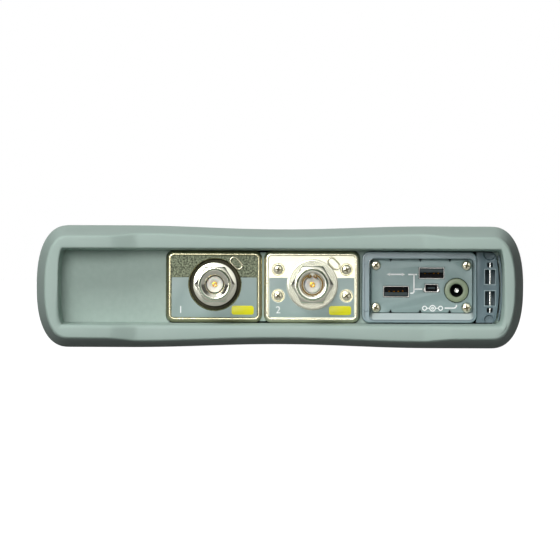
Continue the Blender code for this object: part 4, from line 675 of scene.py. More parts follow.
# %% Measures of the boot
boot_low, boot_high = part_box("bumper")
half_width = (boot_high.x - boot_low.x) / 2
middle_z = (boot_high.z + boot_low.z) / 2
lip_y = boot_low.y
foot_y = boot_high.y
SEAT_GAP = 0.3 * MM
bay_floor_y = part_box("connector_panel")[0].y - SEAT_GAP
WAIST_DROP = 1.8 * MM
WAIST_HALF = 77 * MM
LIP_DIP = 6 * MM
DIP_OUTER = 88 * MM
DIP_INNER = 74 * MM
OUTER_BLEND = 0.3
INNER_BLEND = 0.07
SIDE_BULGE = 17 * MM
SIDE_POWER = 2.4
FLARE_LENGTH = 26.5 * MM
FLARE_POWER = 1.15
LIP_SIDE_INSET = 4.7 * MM
LIP_FACE_INSET = 5.2 * MM
LIP_DROP = 0.35 * MM
LIP_MIDDLE_RISE = 1.4 * MM
EDGE_ROUNDING = 0.9 * MM
LOWER_EDGE_ROUNDING = 2.2 * MM
OPENING_HALF_WIDTH = 114.1 * MM
OPENING_HALF_HEIGHT = 19.5 * MM
OPENING_SHIFT = 0.7 * MM
OPENING_BULGE = 2.6 * MM
OPENING_POWER = 2.6
BAY_DRAFT = 1.1 * MM
BAY_WALL_LIFT = 2 * MM
FOOT_ROUNDING = 18 * MM
FOOT_SIDE_INSET = 9 * MM
FOOT_FACE_INSET = 8.5 * MM
SIDE_STEPS = 36
EDGE_STEP = 1.6 * MM
LOWER_EDGE_FULL_SHARE = 0.8
print("boot", [round(1000 * (h - l), 1) for l, h in zip(boot_low, boot_high)], "mm")


# %% Sections of the boot
def waist_at(x):
    if abs(x) >= WAIST_HALF:
        return 0.0
    return WAIST_DROP * (1 + math.cos(math.pi * x / WAIST_HALF)) / 2


def dip_at(x):
    """The lip's set-back as a share: none at its ends, all in the middle, with soft bends."""
    run = (DIP_OUTER - abs(x)) / (DIP_OUTER - DIP_INNER)
    if abs(run) < OUTER_BLEND:
        return (run + OUTER_BLEND) ** 2 / (4 * OUTER_BLEND)
    if abs(run - 1) < INNER_BLEND:
        return 1 - (1 + INNER_BLEND - run) ** 2 / (4 * INNER_BLEND)
    return min(1.0, max(0.0, run))


def boot_section(section_half_width, section_half_height, bulge, power, waisted):
    """The (x, z) points of one section, measured from the middle height."""
    side = []
    for step in range(SIDE_STEPS + 1):
        angle = math.pi * (0.5 - step / SIDE_STEPS)
        out = abs(math.cos(angle)) ** (2 / power)
        up = math.copysign(abs(math.sin(angle)) ** (2 / power), math.sin(angle))
        side.append((section_half_width - bulge + bulge * out, section_half_height * up))
    count = int(2 * DIP_OUTER / EDGE_STEP)
    across = [DIP_OUTER - 2 * DIP_OUTER * i / count for i in range(count + 1)]
    edge = [(x, section_half_height - (waist_at(x) if waisted else 0)) for x in across]
    below = [(x, -z) for x, z in edge]
    left = [(-x, -z) for x, z in side]
    above = [(-x, z) for x, z in edge]
    return side + below + left + above


def outside_ring(y, side_inset, face_inset, bulge, dip_share):
    """A ring of the boot's outside; its dip is how much of the lip's set-back it takes."""
    ring = []
    section = boot_section(half_width - side_inset, middle_z - face_inset, bulge, SIDE_POWER, True)
    drop = LIP_DROP * face_inset / LIP_FACE_INSET if y < 0 else 0.0
    for x, z in section:
        dip = dip_at(x) * dip_share
        rise = math.copysign(LIP_MIDDLE_RISE * dip, z) - drop
        ring.append((x, y + dip * LIP_DIP, middle_z + z + rise))
    return ring


def opening_ring(y, grow, dip_share):
    section = boot_section(
        OPENING_HALF_WIDTH + grow, OPENING_HALF_HEIGHT + grow, OPENING_BULGE, OPENING_POWER, False
    )
    return [
        (x + OPENING_SHIFT, y + dip_at(x) * dip_share * LIP_DIP, middle_z + z) for x, z in section
    ]


def opening_edge(angle):
    """A ring on the opening's rounded edge, where the lower side has the larger rounding."""
    back, grow = 1 - math.cos(angle), 1 - math.sin(angle)
    small, large = (
        opening_ring(lip_y + rounding * back, rounding * grow, 1.0)
        for rounding in (EDGE_ROUNDING, LOWER_EDGE_ROUNDING)
    )
    ring = []
    for upper, lower in zip(small, large):
        below = (middle_z - upper[2]) / (OPENING_HALF_HEIGHT * LOWER_EDGE_FULL_SHARE)
        share = min(1.0, max(0.0, below))
        ring.append(tuple(a + (b - a) * share for a, b in zip(upper, lower)))
    return ring


print(len(opening_ring(0, 0, 0)), "points to a ring")

# %% Rings of the boot
FOOT_STEPS = 10
FLARE_STEPS = 16
ROUND_STEPS = 5
rings = []
for step in range(FOOT_STEPS, -1, -1):
    angle = math.pi / 2 * step / FOOT_STEPS
    share = 1 - math.cos(angle)
    y = foot_y - FOOT_ROUNDING * (1 - math.sin(angle))
    bulge = SIDE_BULGE - FOOT_SIDE_INSET * share / 2
    rings.append(outside_ring(y, FOOT_SIDE_INSET * share, FOOT_FACE_INSET * share, bulge, 0.0))
for step in range(FLARE_STEPS + 1):
    along = step / FLARE_STEPS
    share = along ** FLARE_POWER
    y = lip_y + EDGE_ROUNDING + (FLARE_LENGTH - EDGE_ROUNDING) * (1 - along)
    side = (LIP_SIDE_INSET - EDGE_ROUNDING / 4) * share
    face = (LIP_FACE_INSET - EDGE_ROUNDING / 4) * share
    dip = max(0.0, 2 * along - 1)
    rings.append(outside_ring(y, side, face, SIDE_BULGE - LIP_FACE_INSET * share, dip))
for step in range(1, ROUND_STEPS + 1):
    angle = math.pi / 2 * step / ROUND_STEPS
    inward = EDGE_ROUNDING * (1 - math.cos(angle))
    y = lip_y + EDGE_ROUNDING * (1 - math.sin(angle))
    side, face = LIP_SIDE_INSET + inward, LIP_FACE_INSET + inward
    rings.append(outside_ring(y, side, face, SIDE_BULGE - LIP_FACE_INSET, 1.0))
rings += [opening_edge(math.pi / 2 * step / ROUND_STEPS) for step in range(ROUND_STEPS + 1)]
rings.append(opening_ring(bay_floor_y + BAY_WALL_LIFT, -BAY_DRAFT, 0.0))
boot = loft("rubber_boot", rings, rubber)
print("boot skin:", len(rings), "rings,", len(boot.data.vertices), "points")

# %% [markdown]
# The boot is open above the display and keys and below the back. The real openings have soft
# edges of about 2 mm. A bevel can't follow a Boolean cut over this dense skin, so the cutter
# itself is flared: near the surface it widens on a quarter circle, and it follows the waist.

# %% Openings of the boot
WINDOW = (-102.5 * MM, 102.5 * MM, -56 * MM, 67 * MM)
WINDOW_RADIUS = 12 * MM
RIM_ROUNDING = 2 * MM
RIM_STEPS = 6
LAST_RIM_ANGLE = 80
CORNER_STEPS = 12
LONG_SIDE = 100 * MM
LONG_SIDE_CUTS = 40
CUTTER_DEPTH = 24 * MM
CUTTER_LEVELS = (-1.0 * MM, -6.0 * MM)
CAVITY = (-117.5 * MM, 117.5 * MM, 4.0 * MM, 58.6 * MM)
CAVITY_RADIUS = 6 * MM
CAVITY_END = 81 * MM
BOOT_SHARP_DEG = 40


def window_cutter(name, side):
    """A cutter for the opening above (side 1) or below (side -1), flared at the skin."""
    def surface_ring(grow, depth):
        points = rectangle_ring(*inset(WINDOW, -grow), WINDOW_RADIUS + grow, CORNER_STEPS)
        waisted = []
        for (x0, y0), (x1, y1) in zip(points, points[1:] + points[:1]):
            cuts = LONG_SIDE_CUTS if abs(x1 - x0) > LONG_SIDE else 1
            for i in range(cuts):
                waisted.append((x0 + (x1 - x0) * i / cuts, y0 + (y1 - y0) * i / cuts))
        surface = boot_high.z - middle_z
        return [(x, y, middle_z + side * (surface - waist_at(x) - depth)) for x, y in waisted]

    cutter_rings = [surface_ring(0.0, CUTTER_DEPTH), surface_ring(0.0, RIM_ROUNDING)]
    for step in range(1, RIM_STEPS + 1):
        angle = math.radians(LAST_RIM_ANGLE * step / RIM_STEPS)
        grow = RIM_ROUNDING * (1 - math.cos(angle))
        cutter_rings.append(surface_ring(grow, RIM_ROUNDING * (1 - math.sin(angle))))
    cutter_rings += [surface_ring(RIM_ROUNDING, level) for level in CUTTER_LEVELS]
    return loft(name, cutter_rings, rubber)


cavity_rings = [front_ring(CAVITY, CAVITY_RADIUS, y) for y in (bay_floor_y, CAVITY_END)]
cavity = loft("boot_cavity", cavity_rings, rubber)
combine(boot, [cavity, window_cutter("window_above", 1), window_cutter("window_below", -1)])
finish_piece(boot, stands_for=["bumper"], sharp_deg=BOOT_SHARP_DEG)
print("boot:", len(boot.data.polygons), "faces")

# %% [markdown]
# ## The floor of the bay
#
# Behind the lip lies a flat moulded panel, bare on its left where a third port could go. Its
# node has the right shape already, so it keeps its mesh and only takes the textured finish.

# %% Floor of the bay
def refinish(node, material):
    """Gives a CAD node, which keeps its shape, the finish of its real material."""
    for slot in nodes[node].material_slots:
        slot.material = material
    nodes[node].data.shade_smooth()
    nodes[node].data.set_sharp_from_angle(angle=math.radians(SHARP_EDGE_DEG))


refinish("connector_panel", bay_floor_plastic)
print("bay floor at y", round(1000 * bay_floor_y, 1), "mm")

# %% [markdown]
# ## Port housings
#
# Each radio port comes out through a cast frame: soft outer edges, a narrow raised rim, and a
# sunk face. One row of rings draws all of that at once. The left port's socket stands in a deep
# round well, and the right one carries four screws in shallow recesses, cut with Booleans. The
# face inside the rim is rough on the left and satin on the right. The left port's face carries a
# painted dark reflection, and the well is near-black nickel as painted shade. Their polygons are
# found by their place and given materials of their own.

# %% Port housings
PORT_EDGE = 1.8 * MM
PORT_RIM = 2.4 * MM
PORT_SINK = 0.6 * MM
PORT_RADIUS = 3.9 * MM
RIM_INNER_EDGE = 0.3 * MM
WELL_RADIUS = 13.1 * MM
WELL_DEPTH = 3.5 * MM
WELL_EDGE = 0.4 * MM
WELL_FILLET = 0.3 * MM
RECESS = ((0, -0.4), (2.9, -0.4), (3.3, 0.1), (3.4, 1), (0, 1))
BORE = rod(7.8 * MM, -15.8 * MM, 2 * MM)
BOSS_PROUD = 0.4 * MM
SCREW_SIDE = 17.5 * MM
SCREW_UP = 7.75 * MM
SCREW_DOWN = 5.7 * MM


def socket_axis(number):
    low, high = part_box(f"rf_contact_{number}")
    return (low.x + high.x) / 2, (low.z + high.z) / 2


def port_screws(number):
    x, z = socket_axis(number)
    return [
        (x + side * SCREW_SIDE, z + rise) for side in (-1, 1) for rise in (SCREW_UP, -SCREW_DOWN)
    ]


def port_housing(number, rim_finish, face_finish):
    low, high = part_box(f"rf_port_housing_{number}")
    bounds = (low.x, high.x, low.z, high.z)
    front = low.y + BOSS_PROUD
    face = front + PORT_SINK
    rings = [front_ring(bounds, PORT_RADIUS, high.y)]
    rings += rounded_edge(bounds, PORT_RADIUS, front, PORT_EDGE, 6)
    inner = inset(bounds, PORT_RIM)
    inner_radius = PORT_RADIUS - PORT_RIM + RIM_INNER_EDGE
    middle_edge = RIM_INNER_EDGE / 3
    rings += [
        front_ring(inset(inner, -RIM_INNER_EDGE), inner_radius + RIM_INNER_EDGE, front),
        front_ring(inset(inner, -middle_edge), inner_radius, front + middle_edge),
        front_ring(inner, inner_radius, front + RIM_INNER_EDGE),
        front_ring(inner, inner_radius, face),
    ]
    housing = loft(f"port_{number}_casting", rings, rim_finish)
    housing.data.materials.append(face_finish)
    housing.data.materials.append(well_painted_shade)
    x, z = socket_axis(number)
    cutters = []
    if number == 1:
        well = [
            (0, -WELL_DEPTH), (WELL_RADIUS - WELL_FILLET, -WELL_DEPTH),
            (WELL_RADIUS, WELL_FILLET - WELL_DEPTH), (WELL_RADIUS, -WELL_EDGE),
            (WELL_RADIUS + WELL_EDGE, 0), (WELL_RADIUS + 2 * WELL_EDGE, WELL_EDGE), (0, WELL_EDGE),
        ]
        cutters.append(turned("well", well, (x, face, z), cast_nickel))
    else:
        for screw_x, screw_z in port_screws(number):
            place = (screw_x, face, screw_z)
            cutters.append(turned("recess", in_mm(RECESS), place, cast_nickel, 40))
    cutters.append(turned("bore", BORE, (x, face, z), cast_nickel, 64))
    combine(housing, cutters)
    for polygon in housing.data.polygons:
        middle = polygon.center
        on_face = abs(middle.y - face) < 0.01 * MM and polygon.normal.y < -0.9
        reach = math.hypot(middle.x - x, middle.z - z)
        # Polygons deep in the left port's well take the near-black nickel, which is painted shade.
        in_well = number == 1 and middle.y > face + WELL_EDGE and reach < WELL_RADIUS + 0.1 * MM
        polygon.material_index = 1 if on_face else (2 if in_well else 0)
    finish_piece(housing, stands_for=[f"rf_port_housing_{number}"])
    return housing, face


port_faces = {}
# The left port takes the darkened nickels, which paint a dark reflection on its rim and front.
PORT_FINISHES = {1: (cast_nickel_painted_dark, rough_nickel_dark_reflection), 2: (cast_nickel, satin_nickel)}
for number, finishes in PORT_FINISHES.items():
    housing, port_faces[number] = port_housing(number, *finishes)
    print(housing.name, len(housing.data.polygons), "faces")

# %% [markdown]
# A pale rib of the panel stands in the narrow gap between the two castings. It shows at their
# round corners. It runs a little into both castings, where nothing of it can be seen.

# %% Rib between the ports
RIB = (-10.6 * MM, -7.0 * MM, 13.6 * MM, 49.0 * MM)
RIB_RADIUS = 0.6 * MM
RIB_BACK = -65.0 * MM
RIB_FRONT = -67.6 * MM
RIB_EDGE = 0.4 * MM
rib_rings = [front_ring(RIB, RIB_RADIUS, RIB_BACK)]
rib_rings += rounded_edge(RIB, RIB_RADIUS, RIB_FRONT, RIB_EDGE, 3)
finish_piece(loft("port_gap_rib", rib_rings, bay_floor_plastic))
print("rib between the ports")

# %% [markdown]
# Beside each socket stands a small slotted boss, turned to 45 degrees. It is a slot outline
# made thick, with a smaller slot cut in it; the edges are then softened as in the casting.

# %% Slotted bosses
BOSS_DEG = 45
BOSS_DISTANCE = 15.4 * MM
BOSS_SIZE = (8 * MM, 4.6 * MM)
SLOT_SIZE = (6.3 * MM, 2.9 * MM)
BOSS_HEIGHT = 1.0 * MM
BOSS_THICKNESS = 1.1 * MM
SLOT_CUT_LIFT = 2 * MM
SLOT_CUT_DEPTH = 2.4 * MM
SLOT_END_STEPS = 10


def slot_outline(x, z, length, width, turn_deg):
    """A straight slot with round ends, turned about its middle."""
    turn = math.radians(turn_deg)
    points = []
    for end in (1, -1):
        for step in range(SLOT_END_STEPS + 1):
            angle = math.pi * (step / SLOT_END_STEPS - 0.5) + (0 if end > 0 else math.pi)
            u = end * (length - width) / 2 + math.cos(angle) * width / 2
            v = math.sin(angle) * width / 2
            right = x + u * math.cos(turn) - v * math.sin(turn)
            up = z + u * math.sin(turn) + v * math.cos(turn)
            points.append((right, up))
    return points


for number, face in port_faces.items():
    x, z = socket_axis(number)
    boss_x = x + BOSS_DISTANCE * math.cos(math.radians(BOSS_DEG))
    boss_z = z + BOSS_DISTANCE * math.sin(math.radians(BOSS_DEG))
    boss_line = slot_outline(boss_x, boss_z, *BOSS_SIZE, -BOSS_DEG)
    slot_line = slot_outline(boss_x, boss_z, *SLOT_SIZE, -BOSS_DEG)
    boss = thick_outline(
        f"port_{number}_slot_boss", boss_line, face - BOSS_HEIGHT, BOSS_THICKNESS, cast_nickel
    )
    slot = thick_outline("slot", slot_line, face - SLOT_CUT_LIFT, SLOT_CUT_DEPTH, cast_nickel)
    combine(boss, [slot])
    soften(boss, 0.35, 3)
    finish_piece(boss)
print("two bosses")

# %% [markdown]
# ## Printed foils on the ports
#
# The lower part of each port carries a blue-grey foil cut out round the socket, with a small
# yellow patch and a plain port number. It could be an image on the casting; here a foil is a
# thin solid, so its edge catches light as the real one does.

# %% Foils, patches and port numbers
FOIL_THICKNESS = 0.15 * MM
FOIL_TOP = 36.0 * MM
FOIL_MARGIN = 0.35 * MM
FOIL_RADIUS = 0.5 * MM
FOIL_EDGE_SHARE = 0.6
FOIL_HOLES = {1: WELL_RADIUS + 0.7 * MM, 2: WELL_RADIUS + 0.1 * MM}
SCREW_HOLE = rod(3.5 * MM, -1 * MM, 1 * MM)
PATCH_HALF_WIDTH = 5.7 * MM
PATCH_HALF_HEIGHT = 2.35 * MM
PATCH_RADIUS = 1.3 * MM
PATCH_LIFT = 0.08 * MM
PATCH_THICKNESS = 0.1 * MM
PATCH_PLACE = (14.3 * MM, -13.25 * MM)
NUMBER_PLACE = (-17.5 * MM, -13.2 * MM)
NUMBER_SIZE = 5.2 * MM
INK_HALF = 0.04 * MM


def flat_patch(name, bounds, radius, front, material, thickness=FOIL_THICKNESS):
    rings = [front_ring(bounds, radius, front + thickness)]
    rings += rounded_edge(bounds, radius, front, thickness * FOIL_EDGE_SHARE, 2)
    return loft(name, rings, material)


def printed_text(name, words, place, size, material, facing="front"):
    """Numerals or signs as ink, on the connector end or, facing up, for the user of the keys."""
    curve = bpy.data.curves.new(name, "FONT")
    curve.body = words
    curve.size = size
    curve.extrude = INK_HALF
    curve.align_x = "CENTER"
    curve.align_y = "CENTER"
    text = add_object(name + "_curve", curve)
    text.location = place
    text.rotation_euler = (math.radians(90), 0, 0) if facing == "front" else (0, 0, math.pi)
    bpy.context.view_layer.update()
    evaluated = text.evaluated_get(bpy.context.evaluated_depsgraph_get())
    mesh = bpy.data.meshes.new_from_object(evaluated)
    mesh.transform(text.matrix_world)
    bpy.data.objects.remove(text, do_unlink=True)
    mesh.materials.clear()
    mesh.materials.append(material)
    mesh.name = name
    return add_object(name, mesh)


for number, face in port_faces.items():
    low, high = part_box(f"rf_port_housing_{number}")
    x, z = socket_axis(number)
    side = PORT_RIM + FOIL_MARGIN
    bounds = (low.x + side, high.x - side, low.z + side, FOIL_TOP)
    front = face - FOIL_THICKNESS
    foil = flat_patch(f"port_{number}_foil", bounds, FOIL_RADIUS, front, label_paint)
    hole = rod(FOIL_HOLES[number], -1 * MM, 1 * MM)
    cutters = [turned("hole", hole, (x, face, z), label_paint)]
    if number == 2:
        for screw_x, screw_z in port_screws(2):
            if screw_z < z:
                place = (screw_x, face, screw_z)
                cutters.append(turned("screw_hole", SCREW_HOLE, place, label_paint, 40))
    combine(foil, cutters)
    finish_piece(foil)
    patch_x, patch_z = x + PATCH_PLACE[0], z + PATCH_PLACE[1]
    patch_bounds = (
        patch_x - PATCH_HALF_WIDTH, patch_x + PATCH_HALF_WIDTH,
        patch_z - PATCH_HALF_HEIGHT, patch_z + PATCH_HALF_HEIGHT,
    )
    patch = flat_patch(
        f"port_{number}_patch", patch_bounds, PATCH_RADIUS, front - PATCH_LIFT, yellow_ink,
        PATCH_THICKNESS,
    )
    finish_piece(patch)
    place = (x + NUMBER_PLACE[0], front, z + NUMBER_PLACE[1])
    numeral = printed_text(f"port_{number}_number", str(number), place, NUMBER_SIZE, white_ink)
    finish_piece(numeral)
print("foils with numbers 1 and 2")

# %% [markdown]
# ## Type N sockets
#
# A socket body is turned: flange, barrel, thread and bore share one axis, so it is drawn as
# one profile spun round. The thread is 24 turns to the inch. It could be a helix swept round
# the barrel; here the profile's rings are shifted along the thread, so the grooves really climb.

# %% Socket bodies
THREAD_PITCH = 25.4 * MM / 24
THREAD_DEPTH = 0.45 * MM
SOCKET_REACH = 15 * MM
BARREL_RADIUS = 7.9 * MM
BARREL_SIDES = 96
ROWS_PER_TURN = 8
THREAD_BASE = 4.6 * MM
THREAD_TOP = SOCKET_REACH - 0.9 * MM
BORE_RADIUS = 4.5 * MM
TAIL_RADIUS = 7.45 * MM
TAIL_END = -15.5 * MM
FLANGE_RADIUS = {1: 11.3 * MM, 2: 13.05 * MM}
FLANGE_TOP_AT = {1: 0.6 * MM, 2: 1.2 * MM}
FLANGE_BASE_AT = {1: -3.2 * MM, 2: 0.02 * MM}
FLANGE_GROOVES = (12.0, 11.2, 10.4)
MOUTHS = {
    1: (
        (7.55, 14.45), (7.35, 14.85), (7.15, 15.0), (6.85, 14.98), (6.6, 14.8), (5.9, 14.25),
        (5.2, 13.8), (4.95, 13.6), (4.8, 13.35), (4.7, 12.9), (4.7, 6.0),
    ),
    2: (
        (7.6, 14.4), (7.4, 14.85), (7.2, 15.0), (6.5, 15.0), (6.15, 14.85), (5.95, 14.5),
        (5.9, 14.1), (5.9, 10.2), (5.9, 6.0), (4.5, 6.0),
    ),
}


def threaded_barrel(bm):
    """Rows of points up a barrel whose groove climbs as a helix and fades at both its ends."""
    count = int((THREAD_TOP - THREAD_BASE) / THREAD_PITCH * ROWS_PER_TURN)
    rows = []
    for row in range(count + 1):
        height = THREAD_BASE + (THREAD_TOP - THREAD_BASE) * row / count
        fade = min(1.0, (count - row) / ROWS_PER_TURN, row / ROWS_PER_TURN)
        ring = []
        for i in range(BARREL_SIDES):
            turn = i / BARREL_SIDES
            phase = (height / THREAD_PITCH + turn) % 1.0
            groove = THREAD_DEPTH * fade * (1 - abs(2 * phase - 1))
            angle = 2 * math.pi * turn
            radius = BARREL_RADIUS - groove
            ring.append(bm.verts.new((radius * math.cos(angle), radius * math.sin(angle), height)))
        rows.append(ring)
    bridge(bm, rows)
    return rows


def flange_profile(number):
    """From the bore behind the panel, out round the flange's edge and in to the barrel."""
    radius, top, base = FLANGE_RADIUS[number], FLANGE_TOP_AT[number], FLANGE_BASE_AT[number]
    profile = [
        (BORE_RADIUS, TAIL_END), (TAIL_RADIUS, TAIL_END), (TAIL_RADIUS, base),
        (radius - 0.3 * MM, base), (radius, base + 0.2 * MM), (radius, top - 0.35 * MM),
        (radius - 0.12 * MM, top - 0.1 * MM), (radius - 0.4 * MM, top),
    ]
    if number == 2:
        for groove in FLANGE_GROOVES:
            profile += [
                ((groove + 0.2) * MM, top), ((groove + 0.08) * MM, top - 0.16 * MM),
                ((groove - 0.12) * MM, top - 0.16 * MM), ((groove - 0.24) * MM, top),
            ]
    neck = BARREL_RADIUS - 0.05 * MM
    return profile + [(neck, top), (neck, THREAD_BASE - 0.1 * MM)]


def socket_body(number):
    x, z = socket_axis(number)
    bm = bmesh.new()
    thread = threaded_barrel(bm)
    outer_rows = spin_rows(bm, flange_profile(number), BARREL_SIDES)
    mouth_rows = spin_rows(bm, in_mm(MOUTHS[number]), BARREL_SIDES)
    bridge(bm, outer_rows + [thread[0]])
    bridge(bm, [thread[-1]] + mouth_rows + [outer_rows[0]])
    set_in_place(bm, (x, port_faces[number], z))
    body = to_piece(f"socket_{number}_body", bm, turned_nickel)
    finish_piece(body, stands_for=[f"rf_connector_{number}"])
    return body


for number in (1, 2):
    body = socket_body(number)
    print(body.name, len(body.data.polygons), "faces")

# %% [markdown]
# The hexagon behind the barrel is a bar of six sides with its front corners turned away to a
# cone. It is cut as on a lathe: the bar is crossed with a turned cone, and bored for the barrel.

# %% Hexagons of the sockets
HEX_OVERRUN = 1 * MM
HEX_BORE = 7.7 * MM
HEX_BORE_EDGE = 0.3 * MM


def hexagon(number, flats, base, height):
    """A turned and bored hexagon; flats is its width from side to side."""
    x, z = socket_axis(number)
    centre = (x, port_faces[number], z)
    corner = flats / math.sqrt(3)
    top = base + height
    name = f"socket_{number}_hexagon"
    bar = turned(name, rod(corner, base, top), centre, turned_nickel, sides=6)
    dome = [
        (0, base - HEX_OVERRUN), (corner + HEX_OVERRUN, base - HEX_OVERRUN),
        (corner + HEX_OVERRUN, top - 1.1 * MM), (corner, top - 0.95 * MM),
        (flats / 2 - 0.5 * MM, top), (0, top),
    ]
    combine(bar, [turned("hex_dome", dome, centre, turned_nickel, 120)], "INTERSECT")
    bore = [
        (0, base - HEX_OVERRUN), (HEX_BORE, base - HEX_OVERRUN), (HEX_BORE, top - HEX_BORE_EDGE),
        (HEX_BORE + 2 * HEX_BORE_EDGE, top + HEX_BORE_EDGE), (0, top + HEX_BORE_EDGE),
    ]
    combine(bar, [turned("hex_bore", bore, centre, turned_nickel, 96)])
    soften(bar, 0.12, 2)
    finish_piece(bar)
    return bar


hexagon(1, 17.9 * MM, FLANGE_TOP_AT[1], 3.9 * MM)
hexagon(2, 19.0 * MM, FLANGE_TOP_AT[2], 3.8 * MM)
print("two hexagons")

# %% [markdown]
# Inside each barrel sits a white PTFE insulator with the gold centre contact, a tube split
# for the plug's pin. Both are turned, with small chamfers that show as bright rings. The right
# socket also holds a bronze spring ring: one bent outline made thick, joined to two eyelets.

# %% Insulators and contacts
INSULATOR = (
    (0, -9.9), (1.75, -9.9), (4.2, -9.9), (4.2, 10.1), (4.08, 10.35), (3.8, 10.5), (2.2, 10.5),
    (2.0, 10.4), (1.85, 10.15), (1.6, 10.1), (0, 10.1),
)
CONTACT = (
    (0, 6.9), (0.5, 7.1), (0.5, 10.75), (0.62, 10.98), (0.85, 11.05), (1.15, 10.98),
    (1.35, 10.7), (1.4, 10.2), (1.4, -8.9), (0, -9.0),
)
SLIT_HALF = 0.14 * MM
SLIT_REACH = 2 * MM
SLIT_SPAN = (-12 * MM, -7 * MM)

for number in (1, 2):
    x, z = socket_axis(number)
    y = port_faces[number]
    piece = turned(f"socket_{number}_insulator", in_mm(INSULATOR), (x, y, z), ptfe, 72)
    finish_piece(piece, stands_for=[f"rf_insulator_{number}"])
    piece = turned(f"socket_{number}_contact", in_mm(CONTACT), (x, y, z), gold_plate, 48)
    cutters = []
    for across, up in ((SLIT_HALF, SLIT_REACH), (SLIT_REACH, SLIT_HALF)):
        low = (x - across, y + SLIT_SPAN[0], z - up)
        cutters.append(box_cutter("slit", low, (x + across, y + SLIT_SPAN[1], z + up)))
    combine(piece, cutters)
    finish_piece(piece, stands_for=[f"rf_contact_{number}"])
print("insulators and contacts seated")

# %% Spring ring of the right socket
RING_RADIUS = 5.6 * MM
RING_WALL = 0.75 * MM
RING_TOP = 13.5 * MM
RING_THICKNESS = 0.9 * MM
RING_GAP_DEG = 13
RING_STEPS = 60
EYELET_RADIUS = 1.0 * MM
EYELET_DEG = 19
EYE = rod(0.42 * MM, 12 * MM, 14 * MM)


def spring_ring(number):
    x, z = socket_axis(number)
    face = port_faces[number]
    span = 360 - 2 * RING_GAP_DEG
    points = []
    for radius, steps in (
        (RING_RADIUS, range(RING_STEPS + 1)), (RING_RADIUS - RING_WALL, range(RING_STEPS, -1, -1))
    ):
        for step in steps:
            angle = math.radians(90 + RING_GAP_DEG + span * step / RING_STEPS)
            points.append((x + radius * math.cos(angle), z + radius * math.sin(angle)))
    ring = thick_outline(
        f"socket_{number}_spring_ring", points, face - RING_TOP, RING_THICKNESS, spring_bronze
    )
    eyelets, holes = [], []
    eyelet = rod(EYELET_RADIUS, RING_TOP - RING_THICKNESS, RING_TOP)
    reach = RING_RADIUS - EYELET_RADIUS
    for side in (-1, 1):
        angle = math.radians(90 + side * EYELET_DEG)
        centre = (x + reach * math.cos(angle), face, z + reach * math.sin(angle))
        eyelets.append(turned("eyelet", eyelet, centre, spring_bronze, 24))
        holes.append(turned("eye", EYE, centre, spring_bronze, 20))
    combine(ring, eyelets, "UNION")
    combine(ring, holes)
    soften(ring, 0.1, 2)
    finish_piece(ring, stands_for=["rf_retaining_ring"])
    return ring


spring_ring(2)
print("sockets filled")

# %% [markdown]
# ## Cross-recess screws
#
# Four screws hold the right port and four the socket plate. The head is turned with a low
# dome, and a tapered cross is cut in it. One head is made once; the eight screws share its mesh
# and are each turned a little differently, as screws are when they have been tightened.

# %% Screws
HEAD = (
    (0, -0.6), (2.2, -0.6), (2.42, -0.3), (2.45, 0.4), (2.37, 0.65), (2.15, 0.84), (1.5, 0.98),
    (0.7, 1.06), (0, 1.08),
)
# depth, half length and half width of one stroke of the cross, outside and at its floor
CROSS_LEVELS = ((-1.6 * MM, 1.95 * MM, 0.504 * MM), (0.2 * MM, 0.7 * MM, 0.26 * MM))
DOME_HEIGHT = 1.1
DOME_FALL = 0.1
RECESS_SKIN = 0.25 * MM
RECESS_REACH = 1.9 * MM


def screw_head():
    """The mesh of a domed head with a tapered cross; what lies in the cross is darker, as painted
    shade.
    """
    head = turned("screw_head", in_mm(HEAD), (0, 0, 0), screw_steel, 48)
    crosses = []
    for turn in (0, 90):
        bm = bmesh.new()
        rows = []
        for y, half_long, half_wide in CROSS_LEVELS:
            corners = ((-1, -1), (1, -1), (1, 1), (-1, 1))
            rows.append([bm.verts.new((u * half_long, y, v * half_wide)) for u, v in corners])
        bm.faces.new(rows[0])
        bm.faces.new(rows[1])
        bridge(bm, rows)
        bmesh.ops.rotate(bm, verts=bm.verts, matrix=Matrix.Rotation(math.radians(turn), 3, "Y"))
        crosses.append(to_piece(f"cross_{turn}", bm, screw_steel))
    combine(head, crosses)
    head.data.materials.append(screw_recess_painted_shade)
    # Faces sunk in the cross take the dark steel: painted shade.
    for polygon in head.data.polygons:
        middle = polygon.center
        reach = math.hypot(middle.x, middle.z)
        dome_y = -(DOME_HEIGHT - DOME_FALL * (reach / MM) ** 2) * MM
        sunk = middle.y > dome_y + RECESS_SKIN and reach < RECESS_REACH
        polygon.material_index = 1 if sunk else 0
    head.data.shade_smooth()
    head.data.set_sharp_from_angle(angle=math.radians(SHARP_EDGE_DEG))
    mesh = head.data
    bpy.data.objects.remove(head, do_unlink=True)
    return mesh


screw_mesh = screw_head()


def place_screw(name, x, y, z, turn_deg):
    screw = add_object(name, screw_mesh)
    screw.location = (x, y, z)
    screw.rotation_euler = (0, math.radians(turn_deg), 0)
    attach(screw, "housing")
    made.append(name)


PORT_SCREW_TURNS = (12, 38, -20, 52)
PORT_SCREW_SINK = 0.1 * MM
screw_y = port_faces[2] + PORT_SCREW_SINK
for index, ((x, z), turn) in enumerate(zip(port_screws(2), PORT_SCREW_TURNS)):
    place_screw(f"port_screw_{index + 1}", x, screw_y, z, turn)
print("port screws placed")

# %% [markdown]
# ## Socket bay and its hinge
#
# The data and power sockets share a moulded bay with a double rim: an outer lip, a groove for
# the cover's seal, and an inner lip. Below the plate the wall slopes towards the viewer and
# reads almost white in the photograph, so its upward faces take a paler, glossier copy of the
# same plastic: painted light. It could be cut from a block; here one closed row of rings runs up
# the outside, over both lips, and down into the well.

